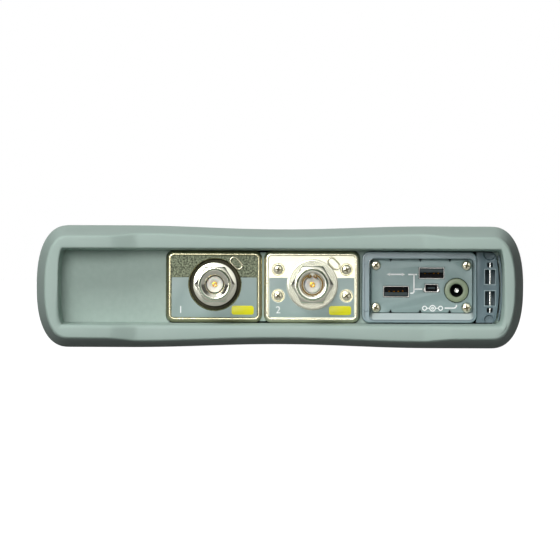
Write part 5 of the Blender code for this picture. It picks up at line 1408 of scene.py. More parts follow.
# %% Rim of the socket bay
low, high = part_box("io_bay")
BAY_BACK = -51.5 * MM
BAY_FRONT = low.y
bay_outer = (low.x, 100.9 * MM, low.z, high.z)
bay_inner = (45.8 * MM, 99.5 * MM, 14.7 * MM, 46.0 * MM)
bay_gutter = (45.1 * MM, 99.8 * MM, 14.4 * MM, 46.5 * MM)
bay_well = (46.7 * MM, 98.9 * MM, 18.0 * MM, 46.0 * MM)
BAY_RADIUS = 3.8 * MM
BAY_EDGE = 0.6 * MM
SLOPE_TOP = 0.95 * MM
SLOPE_END = 5.4 * MM
SLOPE_HIGHEST = bay_well[2] + 0.2 * MM
PIP = ((0, 0), (0.75, 0), (0.75, 0.25), (0.6, 0.4), (0, 0.4))
PIP_X = 44.1 * MM
PIP_DEPTH = 1.3 * MM
PIP_HEIGHTS = (43.6 * MM, 19.4 * MM)
bay_rings = [front_ring(bay_outer, BAY_RADIUS, BAY_BACK)]
bay_rings += rounded_edge(bay_outer, BAY_RADIUS, BAY_FRONT, BAY_EDGE, 5)
for amount, radius, depth in ((0.9, 2.9, 0.0), (1.0, 2.8, 0.12), (1.03, 2.8, 1.3)):
    bay_rings.append(front_ring(inset(bay_outer, amount * MM), radius * MM, BAY_FRONT + depth * MM))
for bounds, radius, depth in (
    (bay_gutter, 2.75, 1.3), (bay_gutter, 2.75, 0.55), (inset(bay_inner, -0.28 * MM), 2.6, 0.35),
    (inset(bay_inner, -0.12 * MM), 2.55, 0.35), (bay_inner, 2.5, 0.5), (bay_inner, 2.5, 0.9),
    (bay_well, 1.6, 5.4),
):
    bay_rings.append(front_ring(bounds, radius * MM, BAY_FRONT + depth * MM))
bay_rings.append(front_ring(bay_well, 1.6 * MM, BAY_BACK))
rim = loft("socket_bay_rim", bay_rings, bay_plastic, closed=True)
rim.data.materials.append(painted_light_bay_plastic)
# The upward faces of the slope below the plate take the paler copy, which paints light on them.
for polygon in rim.data.polygons:
    middle = polygon.center
    in_well = BAY_FRONT + SLOPE_TOP < middle.y < BAY_FRONT + SLOPE_END
    faces_up = polygon.normal.z > 0.5 and middle.z < SLOPE_HIGHEST
    polygon.material_index = 1 if in_well and faces_up else 0
finish_piece(rim, stands_for=["io_bay"])
for index, z in enumerate(PIP_HEIGHTS):
    place = (PIP_X, BAY_FRONT + PIP_DEPTH, z)
    piece = turned(f"socket_bay_pip_{index + 1}", in_mm(PIP), place, bay_plastic, 24)
    finish_piece(piece)
print("socket bay rim:", len(rim.data.polygons), "faces")

# %% [markdown]
# Right of the rim are the knuckles of the cover's hinge. The block ends in a bowed wall, and
# four windows show the steel pin. A raised frame runs round each long window, and a round cup
# and a boss sit at the ends. The block is an outline made thick, with the openings cut out.

# %% Hinge block
HINGE_FRONT = -69.0 * MM
PIN_X = 107.8 * MM
PIN_Y = -66.9 * MM
MID_Z = 31.3 * MM
BOW_X = 112.4 * MM
BOW_DEPTH = 2.0 * MM
BLOCK_HALF_HEIGHT = 18.0 * MM
LONG_WINDOW = (105.2 * MM, 110.4 * MM, 1.8 * MM, 9.2 * MM)
SMALL_WINDOW = (106.2 * MM, 109.2 * MM, 10.4 * MM, 12.8 * MM)
WINDOW_SPAN = (-70 * MM, -60 * MM)
BLOCK_LEFT = 100.6 * MM
BLOCK_CORNER = 2.2 * MM
CORNER_POINTS = 7
BOW_STEPS = 24
CUP = ((0, -2.2), (2.7, -2.2), (3.1, -1.9), (3.3, -1.2), (3.3, 1), (0, 1))
CUP_PLACE = (PIN_X - 0.2 * MM, HINGE_FRONT, 48.6 * MM)
BOSS = (
    (0, -1.7), (2.38, -1.7), (2.9, -0.5), (2.9, 0.15), (2.75, 0.4), (2.5, 0.42), (2.3, 0.2),
    (2.2, -1.3), (0, -1.3),
)
BOSS_PLACE = (PIN_X - 0.6 * MM, HINGE_FRONT, 14.9 * MM)
BELOW_BLOCK = ((100 * MM, -72 * MM, 8 * MM), (115 * MM, -60 * MM, 13.3 * MM))


def bow_at(z, shift=0.0):
    return BOW_X + shift - BOW_DEPTH * ((z - MID_Z) / BLOCK_HALF_HEIGHT) ** 2


def bowed_line(shift, half_height):
    """Points up the bowed right side, from its lower end to its upper end."""
    rises = [2 * half_height * i / BOW_STEPS for i in range(BOW_STEPS + 1)]
    levels = [MID_Z - half_height + rise for rise in rises]
    return [(bow_at(z, shift), z) for z in levels]


def block_outline():
    line = bowed_line(0, BLOCK_HALF_HEIGHT - BLOCK_CORNER)

    def corner_point(end, angle):
        across = end[0] - BLOCK_CORNER + BLOCK_CORNER * math.cos(angle)
        return across, end[1] + BLOCK_CORNER * math.sin(angle)

    turns = [math.radians(90 * step / CORNER_POINTS) for step in range(CORNER_POINTS + 1)]
    points = [(BLOCK_LEFT, MID_Z - BLOCK_HALF_HEIGHT)]
    points += [corner_point(line[0], turn - math.pi / 2) for turn in turns[:-1]]
    points += line
    points += [corner_point(line[-1], turn) for turn in turns[1:]]
    return points + [(BLOCK_LEFT, MID_Z + BLOCK_HALF_HEIGHT)]


block = thick_outline(
    "hinge_block", block_outline(), HINGE_FRONT, BAY_BACK - HINGE_FRONT, hinge_plastic
)
cutters = []
windows = []
for side in (-1, 1):
    for low_x, high_x, near_z, far_z in (LONG_WINDOW, SMALL_WINDOW):
        low_z, high_z = sorted((MID_Z + side * near_z, MID_Z + side * far_z))
        windows.append((low_x, high_x, low_z, high_z))
        near, far = (low_x, WINDOW_SPAN[0], low_z), (high_x, WINDOW_SPAN[1], high_z)
        cutters.append(box_cutter(f"window_{len(cutters)}", near, far))
cutters.append(turned("cup", in_mm(CUP), CUP_PLACE, hinge_plastic, 48))
low_cup = rod(2.4 * MM, -1.8 * MM, 1 * MM)
cutters.append(turned("low_cup", low_cup, BOSS_PLACE, hinge_plastic, 48))
combine(block, cutters)
soften(block, 0.3, 3)
finish_piece(block)
piece = turned("hinge_boss", in_mm(BOSS), BOSS_PLACE, hinge_plastic, 48)
combine(piece, [box_cutter("below", *BELOW_BLOCK)])
finish_piece(piece)
print("hinge block with", len(windows), "windows")

# %% Window frames, bowed strip and hinge pin
# how far out, corner radius and depth of each ring of a frame, in millimetres
FRAME_RINGS = (
    (0.55, 0.5, 0.2), (0.55, 0.5, -0.2), (0.45, 0.4, -0.35), (0.12, 0.2, -0.35),
    (0, 0.15, -0.2), (0, 0.15, 0.2),
)
FRAMED_HEIGHT = 4 * MM
STRIP_HALF = BLOCK_HALF_HEIGHT - 1.2 * MM
STRIP_SIDES = (1.85 * MM, 1.0 * MM)
STRIP_FRONT = -68.4 * MM
PIN_RADIUS = 0.7 * MM
PIN_EDGE = 0.15 * MM

for index, opening in enumerate(windows):
    if opening[3] - opening[2] < FRAMED_HEIGHT:
        continue
    frame_rings = [
        front_ring(inset(opening, -out * MM), radius * MM, HINGE_FRONT + depth * MM)
        for out, radius, depth in FRAME_RINGS
    ]
    # The frames take the lighter bay plastic instead of the darker hinge plastic: painted highlight on
    # their raised edges.
    piece = loft(f"hinge_frame_{index + 1}", frame_rings, bay_plastic, closed=True)
    finish_piece(piece)

outer_side, inner_side = (bowed_line(side, STRIP_HALF) for side in STRIP_SIDES)
strip = outer_side + inner_side[::-1]
piece = thick_outline("bowed_strip", strip, STRIP_FRONT, BAY_BACK - STRIP_FRONT, hinge_plastic)
soften(piece, 0.25, 2)
finish_piece(piece)

low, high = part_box("door_hinge_pin")
pin = [
    (0, low.z), (PIN_RADIUS - PIN_EDGE, low.z), (PIN_RADIUS, low.z + PIN_EDGE),
    (PIN_RADIUS, high.z - PIN_EDGE), (PIN_RADIUS - PIN_EDGE, high.z), (0, high.z),
]
piece = turned("hinge_pin", pin, (PIN_X, PIN_Y, 0), drawn_steel, 32, facing="up")
finish_piece(piece, stands_for=["door_hinge_pin"])
print("hinge pin", round((high.z - low.z) / MM, 1), "mm long")

# %% [markdown]
# ## Socket plate
#
# A painted plate closes the bay. Its holes take the sockets, its corners the screws, and small
# notches along its upper and lower edges mark where it was held. Holes and notches are cut with
# Booleans in a plate with softened edges, because the cut edges then show as thin light lines.

# %% Socket plate
low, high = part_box("io_plate")
PLATE_FRONT = low.y
PLATE_BACK = high.y
plate_bounds = (low.x, high.x, low.z, high.z)
SCREW_X = (49.2 * MM, 95.9 * MM)
SCREW_Z = (20.8 * MM, 42.6 * MM)
NOTCH_X = (56.8 * MM, 72.0 * MM, 87.2 * MM)
NOTCH_HALF = 0.95 * MM
NOTCH_DEPTH = 1.5 * MM
HOLE_GAP = 0.22 * MM
MINI_OUTLINE = (
    (74.2, 28.8), (81.4, 28.8), (81.9, 29.4), (81.9, 30.5), (81.2, 31.9), (81.2, 33.0),
    (74.4, 33.0), (74.4, 31.9), (73.7, 30.5), (73.7, 29.4),
)
MINI_LINER = (74.4 * MM, 81.2 * MM, 28.8 * MM, 33.0 * MM)
mini_points = in_mm(MINI_OUTLINE)
mini_middle = Vector((77.8 * MM, 30.8 * MM))
CUT_FRONT = -70 * MM
CUT_BACK = -60 * MM
JACK_HOLE = rod(6.45 * MM, -6 * MM, 3 * MM)
SCREW_SEAT = ((0, -0.9), (2.75, -0.9), (2.85, 1), (0, 1))
NOTCH_TIP = 0.15 * MM
NOTCH_OVERRUN = 0.2 * MM


def grown_outline(points, middle, amount):
    """An outline moved outwards by about the same amount on all sides of its middle."""
    wider = 1 + amount / (max(x for x, z in points) - middle.x)
    higher = 1 + amount / (max(z for x, z in points) - middle.y)
    return [
        (middle.x + (x - middle.x) * wider, middle.y + (z - middle.y) * higher) for x, z in points
    ]


rings = [front_ring(plate_bounds, 1.5 * MM, PLATE_BACK)]
rings += rounded_edge(plate_bounds, 1.5 * MM, PLATE_FRONT, 0.25 * MM, 3)
plate = loft("socket_plate", rings, plate_paint)
cutters = []
for number in (1, 2):
    low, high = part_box(f"usb_a_shell_{number}")
    near = (low.x - HOLE_GAP, CUT_FRONT, low.z - HOLE_GAP)
    far = (high.x + HOLE_GAP, CUT_BACK, high.z + HOLE_GAP)
    cutters.append(box_cutter(f"usb_hole_{number}", near, far))
mini_hole = grown_outline(mini_points, mini_middle, HOLE_GAP)
cut_run = CUT_BACK - CUT_FRONT
cutters.append(thick_outline("mini_hole", mini_hole, CUT_FRONT, cut_run, plate_paint))
low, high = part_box("dc_jack_body")
jack_x, jack_z, jack_front = (low.x + high.x) / 2, (low.z + high.z) / 2, low.y
cutters.append(turned("jack_hole", JACK_HOLE, (jack_x, PLATE_FRONT, jack_z), plate_paint, 72))
for x in SCREW_X:
    for z in SCREW_Z:
        place = (x, PLATE_FRONT, z)
        cutters.append(turned("screw_seat", in_mm(SCREW_SEAT), place, plate_paint, 40))
for x in NOTCH_X:
    for edge, inward in ((plate_bounds[2], 1), (plate_bounds[3], -1)):
        tip = edge + inward * NOTCH_DEPTH
        base = edge - inward * NOTCH_OVERRUN
        notch = [
            (x - NOTCH_HALF, base), (x + NOTCH_HALF, base), (x + NOTCH_TIP, tip), (x - NOTCH_TIP, tip)
        ]
        cutters.append(thick_outline("notch", notch, CUT_FRONT, cut_run, plate_paint))
combine(plate, cutters)
soften(plate, 0.12, 2, 50)
finish_piece(plate, stands_for=["io_plate"])
PLATE_SCREW_TURNS = (28, -8, 47, 15)
PLATE_SCREW_SINK = 0.35 * MM
for index, turn in enumerate(PLATE_SCREW_TURNS):
    x, z = SCREW_X[index % 2], SCREW_Z[index // 2]
    screw_y = PLATE_FRONT + PLATE_SCREW_SINK
    place_screw(f"plate_screw_{index + 1}", x, screw_y, z, turn)
print("socket plate:", len(plate.data.polygons), "faces")

# %% [markdown]
# ## Data sockets
#
# A data socket is a steel shell folded from sheet, with a nylon tongue inside that carries
# gold contacts. The shell is a tube of rings with a rolled front edge and a black floor far
# inside. The two large sockets are mirrored: one has its tongue above and one below.

# %% Data sockets
SHELL_WALL = 0.36 * MM
SHELL_RADIUS = 0.5 * MM
SHELL_ROLL = 0.2 * MM
SHELL_FLOOR_Y = -59.0 * MM
LINER_Y = -62.6 * MM
LINER_GAP = 0.02 * MM
STRIPS_Y = -64.2 * MM
STRIP_WIDTH = 0.95 * MM
STRIP_HEIGHT = 0.75 * MM
STRIP_NOSE = 0.5 * MM
STRIP_PITCHES = (-3.4, -1.15, 1.15, 3.4)
NYLON_RADIUS = 0.25 * MM
NYLON_EDGE = 0.2 * MM


def shell_rings(outline_at, front, back, floor_y):
    """Rings up the outside of a shell, over its rolled edge and down its inside."""
    rolled = front + SHELL_ROLL
    steps = (
        (0, back), (0, rolled), (0.1 * MM, front), (0.26 * MM, front), (SHELL_WALL, rolled),
        (SHELL_WALL, floor_y),
    )
    return [[(x, y, z) for x, z in outline_at(amount)] for amount, y in steps]


def contact_strips(name, middle_x, pitches, width, low_z, high_z, front, back):
    """Gold strips side by side on a tongue, each with a nose that a plug slides over."""
    bm = bmesh.new()
    nose = front + STRIP_NOSE
    for pitch in pitches:
        x = middle_x + pitch * MM
        profile = [
            (nose, low_z), (front, (low_z + high_z) / 2), (nose, high_z), (back, high_z), (back, low_z)
        ]
        sides = []
        for side in (-1, 1):
            sides.append([bm.verts.new((x + side * width / 2, y, z)) for y, z in profile])
        for row in sides:
            bm.faces.new(row)
        bridge(bm, sides)
    return finish_piece(to_piece(name, bm, gold_plate))


def nylon_block(name, bounds, front, back, material, stands_for=()):
    rings = [front_ring(bounds, NYLON_RADIUS, back)]
    rings += rounded_edge(bounds, NYLON_RADIUS, front, NYLON_EDGE, 3)
    return finish_piece(loft(name, rings, material), stands_for=stands_for)


for number, tongue_above in ((1, False), (2, True)):
    low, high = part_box(f"usb_a_shell_{number}")
    bounds = (low.x, high.x, low.z, high.z)

    def shell_outline(amount):
        return rectangle_ring(*inset(bounds, amount), SHELL_RADIUS - amount / 2, 5)

    rings = shell_rings(shell_outline, low.y, high.y, SHELL_FLOOR_Y)
    shell = loft(f"data_socket_{number}_shell", rings, drawn_steel)
    finish_piece(shell, stands_for=[f"usb_a_shell_{number}"])
    liner = inset(bounds, SHELL_WALL + LINER_GAP)
    nylon_block(f"data_socket_{number}_liner", liner, LINER_Y, SHELL_FLOOR_Y, black_nylon)
    tongue_low, tongue_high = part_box(f"usb_a_tongue_{number}")
    tongue = (tongue_low.x, tongue_high.x, tongue_low.z, tongue_high.z)
    nylon_block(
        f"data_socket_{number}_tongue", tongue, tongue_low.y, SHELL_FLOOR_Y, grey_nylon,
        [f"usb_a_tongue_{number}"],
    )
    low_z = tongue_low.z - STRIP_HEIGHT if tongue_above else tongue_high.z
    contact_strips(
        f"data_socket_{number}_contacts", (low.x + high.x) / 2, STRIP_PITCHES, STRIP_WIDTH,
        low_z, low_z + STRIP_HEIGHT, STRIPS_Y, SHELL_FLOOR_Y,
    )
print("two large data sockets")

# %% Small data socket
MINI_FLOOR_Y = -60.5 * MM
MINI_BLOCK_Y = -60.4 * MM
MINI_LINER_Y = -62.4 * MM
MINI_LINER_INSET = 0.45 * MM
MINI_STRIPS_Y = -64.6 * MM
MINI_STRIP_WIDTH = 0.35 * MM
MINI_STRIP_HEIGHT = 0.3 * MM
MINI_PITCHES = (-1.6, -0.8, 0, 0.8, 1.6)


def mini_outline(amount):
    return grown_outline(mini_points, mini_middle, -amount)


low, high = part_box("usb_mini_shell")
rings = shell_rings(mini_outline, low.y, high.y, MINI_FLOOR_Y)
shell = loft("small_socket_shell", rings, drawn_steel)
finish_piece(shell, stands_for=["usb_mini_shell"])
low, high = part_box("usb_mini_tongue")
tongue = (low.x, high.x, low.z, high.z)
nylon_block(
    "small_socket_tongue", tongue, low.y, MINI_BLOCK_Y, grey_nylon, ["usb_mini_tongue"]
)
liner = inset(MINI_LINER, MINI_LINER_INSET)
nylon_block("small_socket_liner", liner, MINI_LINER_Y, MINI_BLOCK_Y, black_nylon)
contact_strips(
    "small_socket_contacts", (low.x + high.x) / 2, MINI_PITCHES, MINI_STRIP_WIDTH,
    low.z - MINI_STRIP_HEIGHT, low.z, MINI_STRIPS_Y, MINI_BLOCK_Y,
)
print("small data socket")

# %% [markdown]
# ## Power socket
#
# The power socket shows an olive ring, a black sleeve and a bright centre pin. All three are
# turned. The ring is a closed tube, so its section is spun and joined end to end.

# %% Power socket
JACK_RING = (
    (3.35, -12), (6.1, -12), (6.1, -0.35), (6.0, -0.1), (5.8, 0), (3.9, 0), (3.65, -0.05),
    (3.45, -0.25), (3.35, -0.6),
)
JACK_SLEEVE = (
    (0, -12), (3.3, -12), (3.3, -0.7), (3.2, -0.5), (3.0, -0.5), (2.85, -0.8), (2.85, -8.4),
    (0, -8.4),
)
JACK_PIN = (
    (0, -8.6), (1.25, -8.6), (1.25, -1.6), (1.15, -1.3), (0.95, -1.2), (0.62, -1.25),
    (0.5, -1.5), (0.45, -2.4), (0, -2.5),
)
jack_centre = (jack_x, jack_front, jack_z)
piece = tube("power_socket_ring", in_mm(JACK_RING), jack_centre, olive_nylon)
finish_piece(piece, stands_for=["dc_jack_body"])
piece = turned("power_socket_sleeve", in_mm(JACK_SLEEVE), jack_centre, black_nylon, 64)
finish_piece(piece)
piece = turned("power_socket_pin", in_mm(JACK_PIN), jack_centre, drawn_steel, 40)
finish_piece(piece, stands_for=["dc_jack_pin"])
print("power socket at", round(jack_x / MM, 1), round(jack_z / MM, 1))

# %% [markdown]
# ## Print on the socket plate
#
# White lines lead from a double arrow to the data sockets, and from the three-circle polarity
# sign to the power socket. They could be curves with a bevel, which gives round strokes; screen
# ink is flat, and a stroke is a line with width, so each is a thin mitred outline.

# %% Print on the plate
INK = 0.05 * MM
INK_FRONT = PLATE_FRONT - INK


def stroke_outline(points, width):
    """Both sides of a line with width; a corner is mitred along the mean of its two sides."""
    def side_normals():
        for near, far in zip(points, points[1:]):
            along = (Vector(far) - Vector(near)).normalized()
            yield Vector((-along.y, along.x))

    normals = list(side_normals())
    left, right = [], []
    for index, point in enumerate(points):
        before = normals[max(index - 1, 0)]
        after = normals[min(index, len(normals) - 1)]
        mean = (before + after).normalized()
        reach = width / 2 / max(mean.dot(after), 0.5)
        left.append(tuple(Vector(point) + mean * reach))
        right.append(tuple(Vector(point) - mean * reach))
    return left + right[::-1]


def print_stroke(name, points, width=0.7):
    """A printed line through points given in millimetres on the socket plate."""
    outline = stroke_outline(in_mm(points), width * MM)
    return finish_piece(thick_outline(name, outline, INK_FRONT, INK, white_ink))


def print_ring(name, x, inner, outer):
    section = [(inner * MM, 0), (outer * MM, 0), (outer * MM, INK), (inner * MM, INK)]
    centre = (x * MM, PLATE_FRONT, POLARITY_Z * MM)
    return finish_piece(tube(name, section, centre, white_ink, 40))


print("strokes ready")

# %% Lines, arrow and polarity sign
ARROW_Z = 37.9
ARROW_TIPS = {"left": (-1, 54.8), "right": (1, 64.2)}
ARROW_HEAD = (1.7, 0.85)
POLARITY_Z = 20.6
STROKES = {
    "print_data_upper": ((65.8, ARROW_Z), (70.3, ARROW_Z)),
    "print_data_drop": ((68.8, 38.0), (68.8, 29.3), (68.6, 28.7), (68.1, 28.3), (66.9, 28.25)),
    "print_data_branch": ((68.8, 30.4), (73.0, 30.4)),
    "print_arrow_shaft": ((56.2, ARROW_Z), (62.8, ARROW_Z)),
    "print_power_lead": ((84.6, 20.7), (89.4, 20.7), (90.2, 21.0), (90.6, 21.6), (90.7, 22.4)),
}
THIN_STROKES = {
    "print_polarity_link_1": ((75.5, POLARITY_Z), (76.8, POLARITY_Z)),
    "print_polarity_link_2": ((80.0, POLARITY_Z), (81.3, POLARITY_Z)),
}
# where each circle stands, and its inner and outer radius
CIRCLES = {
    "print_polarity_left": (74.3, 0.75, 1.3), "print_polarity_middle": (78.4, 1.15, 1.7),
    "print_polarity_dot": (78.4, 0.2, 0.75), "print_polarity_right": (82.5, 0.75, 1.3),
}
for name, points in STROKES.items():
    print_stroke(name, points)
for name, points in THIN_STROKES.items():
    print_stroke(name, points, 0.5)
for name, (x, inner, outer) in CIRCLES.items():
    print_ring(name, x, inner, outer)
for side_name, (side, tip) in ARROW_TIPS.items():
    back = tip - side * ARROW_HEAD[0]
    head = [(tip, ARROW_Z), (back, ARROW_Z + ARROW_HEAD[1]), (back, ARROW_Z - ARROW_HEAD[1])]
    piece = thick_outline(f"print_arrow_{side_name}", in_mm(head), INK_FRONT, INK, white_ink)
    finish_piece(piece)
print("plate printed")

# %% [markdown]
# ## Display
#
# On top lies the display: a lit-off screen behind coated glass, whose edge is printed dark from
# behind. The glass could be one clear slab over a picture; here it is a real slab that bends
# light, with the print as a thin frame just under it and the display module below.

# %% Display glass and its printed border
def raised_rings(bounds, radius, low_z, top_z, edge, steps=4):
    """Rings up the sides of a flat piece and round its upper edge."""
    rings = [flat_ring(bounds, radius, low_z)]
    for step in range(steps + 1):
        angle = math.pi / 2 * step / steps
        amount = edge * (1 - math.cos(angle))
        level = top_z - edge * (1 - math.sin(angle))
        rings.append(flat_ring(inset(bounds, amount), radius - amount, level))
    return rings


def flat_bounds(node):
    low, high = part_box(node)
    return (low.x, high.x, low.y, high.y), low.z, high.z


GLASS_RADIUS = 2.5 * MM
GLASS_EDGE = 0.35 * MM
GLASS_LIFT = 0.1 * MM
BORDER_INSET = 0.3 * MM
BORDER_RADIUS = 2.2 * MM
BORDER_THICKNESS = 0.08 * MM
VIEW_INSET = 7.0 * MM
VIEW_RADIUS = 1.0 * MM
glass_finish = start_finish(
    "coated display glass", "#eef3f1", 0.03, Transmission_Weight=1.0, IOR=1.5
)[0]
glass_bounds, glass_low, glass_top = flat_bounds("display_window")
glass_rings = raised_rings(
    glass_bounds, GLASS_RADIUS, glass_low + GLASS_LIFT, glass_top, GLASS_EDGE
)
glass = loft("display_glass", glass_rings, glass_finish)
finish_piece(glass, stands_for=["display_window"])
outer_bounds = inset(glass_bounds, BORDER_INSET)
view_bounds = inset(glass_bounds, VIEW_INSET)
border_top = glass_low + BORDER_THICKNESS
border_rings = [
    flat_ring(outer_bounds, BORDER_RADIUS, border_top),
    flat_ring(view_bounds, VIEW_RADIUS, border_top),
    flat_ring(view_bounds, VIEW_RADIUS, border_top - BORDER_THICKNESS),
    flat_ring(outer_bounds, BORDER_RADIUS, border_top - BORDER_THICKNESS),
]
finish_piece(loft("display_border", border_rings, dark_ink, closed=True))
print("display glass", [round(v / MM, 1) for v in glass_bounds])

# %% [markdown]
# ## Keys
#
# The keys are moulded silicone caps: a flange under the case, drafted sides, a rounded edge and
# a slightly domed top. One function makes them all from their nodes' boxes. Each legend is ink
# just above the cap and rides on its key; the arrow, escape, shift, enter and power keys bear
# plain signs, and the four function keys are blank.

# %% Key caps
FLANGE_WIDTH = 0.8 * MM
FLANGE_TOP = 56.2 * MM
CAP_EDGE = 0.7 * MM
DOME = 0.28 * MM
DOME_SHARES = (0.3, 0.55, 0.8)
CAP_RADIUS = 1.8 * MM
DOME_RADIUS = 0.3 * MM
FLANGE_EDGE = 0.2 * MM
INK_LIFT = 0.03 * MM
KEY_INK = 0.1 * MM
LEGEND_SIZE = 6.0 * MM
LINE_WIDTH = 0.55
POWER_LINE_WIDTH = 0.5


def key_cap(node, material):
    bounds, low_z, top_z = flat_bounds(node)
    cap = inset(bounds, FLANGE_WIDTH)
    rings = raised_rings(bounds, CAP_RADIUS, low_z, FLANGE_TOP, FLANGE_EDGE, 2)
    rings += raised_rings(cap, CAP_RADIUS, FLANGE_TOP, top_z - DOME, CAP_EDGE, 5)
    half = min(cap[1] - cap[0], cap[3] - cap[2]) / 2
    for share in DOME_SHARES:
        amount = CAP_EDGE + share * (half - CAP_EDGE)
        level = top_z - DOME * (1 - share) ** 2
        rings.append(flat_ring(inset(cap, amount), max(CAP_RADIUS - amount, DOME_RADIUS), level))
    piece = loft(f"{node}_cap", rings, material)
    return finish_piece(piece, body=node, stands_for=[node])


def key_middle(node):
    bounds, low_z, top_z = flat_bounds(node)
    return (bounds[0] + bounds[1]) / 2, (bounds[2] + bounds[3]) / 2, top_z


def key_print(node, part, outline):
    """An outline in millimetres, right and up as the user reads it, as ink on a key."""
    x, y, top_z = key_middle(node)
    points = [(x - u * MM, y - v * MM) for u, v in outline]
    level = top_z + INK_LIFT
    ink = thick_outline(f"{node}_{part}", points, level, KEY_INK, white_ink, facing="up")
    return finish_piece(ink, body=node)


DIGIT_LEGENDS = {f"key_digit_{digit}": str(digit) for digit in range(10)}
DIGIT_LEGENDS.update({"key_point": ".", "key_sign": "+/-"})
for node, legend in DIGIT_LEGENDS.items():
    key_cap(node, key_rubber)
    x, y, top_z = key_middle(node)
    place = (x, y, top_z + INK_LIFT / 2)
    ink = printed_text(f"{node}_legend", legend, place, LEGEND_SIZE, dark_ink, facing="up")
    finish_piece(ink, body=node)

ARROW = [(-1.7, -1.0), (1.7, -1.0), (0, 1.3)]
ARROW_TURNS = {"key_up": 0, "key_left": 90, "key_down": 180, "key_right": 270}
for node, turn_deg in ARROW_TURNS.items():
    key_cap(node, dark_key_rubber)
    turn = math.radians(turn_deg)
    turned_arrow = [
        (u * math.cos(turn) - v * math.sin(turn), u * math.sin(turn) + v * math.cos(turn))
        for u, v in ARROW
    ]
    key_print(node, "arrow", turned_arrow)

DARK_KEYS = [f"key_function_{number}" for number in range(1, 5)]
DARK_KEYS += ["key_escape", "key_shift", "key_enter", "key_power"]
for node in DARK_KEYS:
    key_cap(node, dark_key_rubber)
print("keys:", len([name for name in made if name.endswith("_cap")]))

# %% Signs on the escape, shift, enter and power keys
POWER_ARC_RADIUS = 2.0
power_angles = [math.radians(angle) for angle in range(40, 321, 14)]
power_arc = [
    (POWER_ARC_RADIUS * math.sin(angle), POWER_ARC_RADIUS * math.cos(angle))
    for angle in power_angles
]
SIGN_LINES = (
    ("key_escape", "stroke_1", ((-1.6, -1.6), (1.6, 1.6)), LINE_WIDTH),
    ("key_escape", "stroke_2", ((-1.6, 1.6), (1.6, -1.6)), LINE_WIDTH),
    ("key_enter", "line", ((2.2, 1.6), (2.2, -0.6), (-1.2, -0.6)), LINE_WIDTH),
    ("key_power", "arc", power_arc, POWER_LINE_WIDTH),
    ("key_power", "bar", ((0, 0.4), (0, 2.6)), POWER_LINE_WIDTH),
)
SIGN_SHAPES = (
    ("key_shift", "head", ((-2.0, 0.1), (2.0, 0.1), (0, 2.3))),
    ("key_shift", "stem", ((-0.9, -2.0), (0.9, -2.0), (0.9, 0.1), (-0.9, 0.1))),
    ("key_enter", "head", ((-2.4, -0.6), (-1.0, 0.5), (-1.0, -1.7))),
)
for node, part, line, width in SIGN_LINES:
    key_print(node, part, stroke_outline(line, width))
for node, part, outline in SIGN_SHAPES:
    key_print(node, part, outline)
print(len(SIGN_LINES) + len(SIGN_SHAPES), "strokes and shapes of ink")

# %% [markdown]
# ## Knob
#
# The low knob lies in a dish, so it never stands above the boot. Its rim is knurled for the
# fingers and its top has a dimple to turn it with one fingertip. The knurl could be a texture;
# here the rings are waved, so the grips are real, and the dimple is cut by a turned ball.

# %% Knob
KNURLS = 40
POINTS_PER_KNURL = 6
KNURL_DEPTH = 0.28 * MM


def knurled_ring(x, y, radius, z, depth):
    count = KNURLS * POINTS_PER_KNURL
    ring = []
    for i in range(count):
        angle = 2 * math.pi * i / count
        wave = radius - depth * (0.5 - 0.5 * math.cos(KNURLS * angle))
        ring.append((x + wave * math.cos(angle), y + wave * math.sin(angle), z))
    return ring


low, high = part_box("rotary_knob")
knob_x, knob_y = (low.x + high.x) / 2, (low.y + high.y) / 2
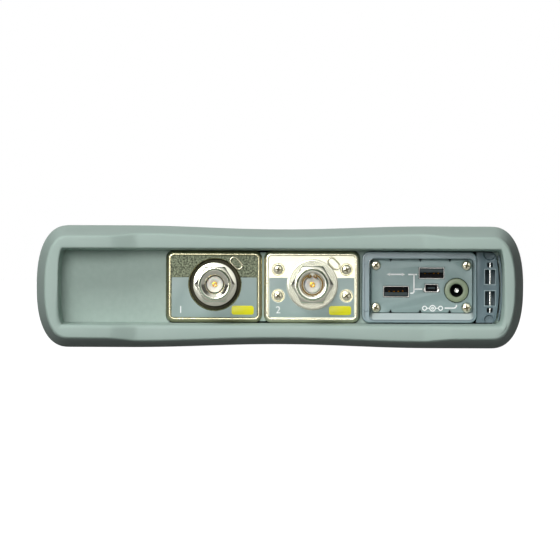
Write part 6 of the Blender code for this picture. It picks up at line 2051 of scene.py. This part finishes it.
# radius and height in millimetres, and the share of the knurl's depth
KNOB_PROFILE = (
    (12.2, 0.0, 0), (12.5, 0.25, 0), (12.5, 0.7, 0), (12.5, 0.95, 1), (12.45, 3.3, 1),
    (12.3, 3.9, 0.6), (12.0, 4.35, 0.2), (11.5, 4.75, 0), (10.9, 5.0, 0), (10.2, 5.15, 0),
    (9.2, 5.2, 0), (6.0, 5.12, 0), (2.0, 5.08, 0),
)
knob_rings = [
    knurled_ring(knob_x, knob_y, radius * MM, low.z + height * MM, share * KNURL_DEPTH)
    for radius, height, share in KNOB_PROFILE
]
knob = loft("knob_cap", knob_rings, dark_key_rubber)
BALL = 6.0 * MM
BALL_STEP_DEG = 6
DIMPLE_DEPTH = 0.7 * MM
DIMPLE_OUT = 7.3 * MM
ball_angles = [math.radians(angle) for angle in range(0, 181, BALL_STEP_DEG)]
ball_profile = [(BALL * math.sin(angle), -BALL * math.cos(angle)) for angle in ball_angles]
ball_profile[0], ball_profile[-1] = (0, -BALL), (0, BALL)
dimple_place = (knob_x, knob_y - DIMPLE_OUT, high.z + BALL - DIMPLE_DEPTH)
dimple = turned("dimple", ball_profile, dimple_place, dark_key_rubber, 48, facing="up")
combine(knob, [dimple])
finish_piece(knob, body="knob", stands_for=["rotary_knob"])
print("knob at", round(knob_x / MM, 1), round(knob_y / MM, 1))

# %% [markdown]
# ## The other solids
#
# The case halves, the stand, the door and what lies inside are right as modelled, so they keep
# their meshes. Each takes the finish of its real material: textured ABS outside, a green
# fibreglass board, a wrapped battery pack, sheet steel round the encoder.

# %% Finishes of the other solids
board_finish = moulded(
    "green solder mask on fibreglass", "#2f5a3d", 0.4, 0.5, 0.004, ("#2a5438", "#356243"), 6
)
battery_finish = moulded(
    "shrink-wrapped battery case", "#33393b", 0.4, 0.8, 0.01, ("#2e3436", "#393f41"), 10
)
screen_finish = start_finish("unlit display film", "#3a4548", 0.3, Specular_IOR_Level=0.4)[0]
CARRIED_OVER = {
    "front_case": case_plastic, "rear_case": case_plastic, "battery_door": case_plastic,
    "tilt_stand": trim_plastic, "tilt_stand_pin": drawn_steel, "keypad_mat": dark_key_rubber,
    "display_module": screen_finish, "main_board": board_finish, "battery_pack": battery_finish,
    "rotary_encoder": drawn_steel,
}
for node, material in CARRIED_OVER.items():
    refinish(node, material)
print("carried over:", len(CARRIED_OVER) + 1, "nodes; made:", len(made), "pieces")

# %% The sizes after loading and at the finish
final_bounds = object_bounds()


def plain(value):
    """Vectors inside bounds turned into plain lists of numbers."""
    if isinstance(value, dict):
        return {key: plain(entry) for key, entry in value.items()}
    if isinstance(value, (list, tuple, Vector)):
        return [plain(entry) for entry in value]
    return float(value)


{"after_load": plain(cad_bounds), "before_finish": plain(final_bounds)}
print(plain(final_bounds))
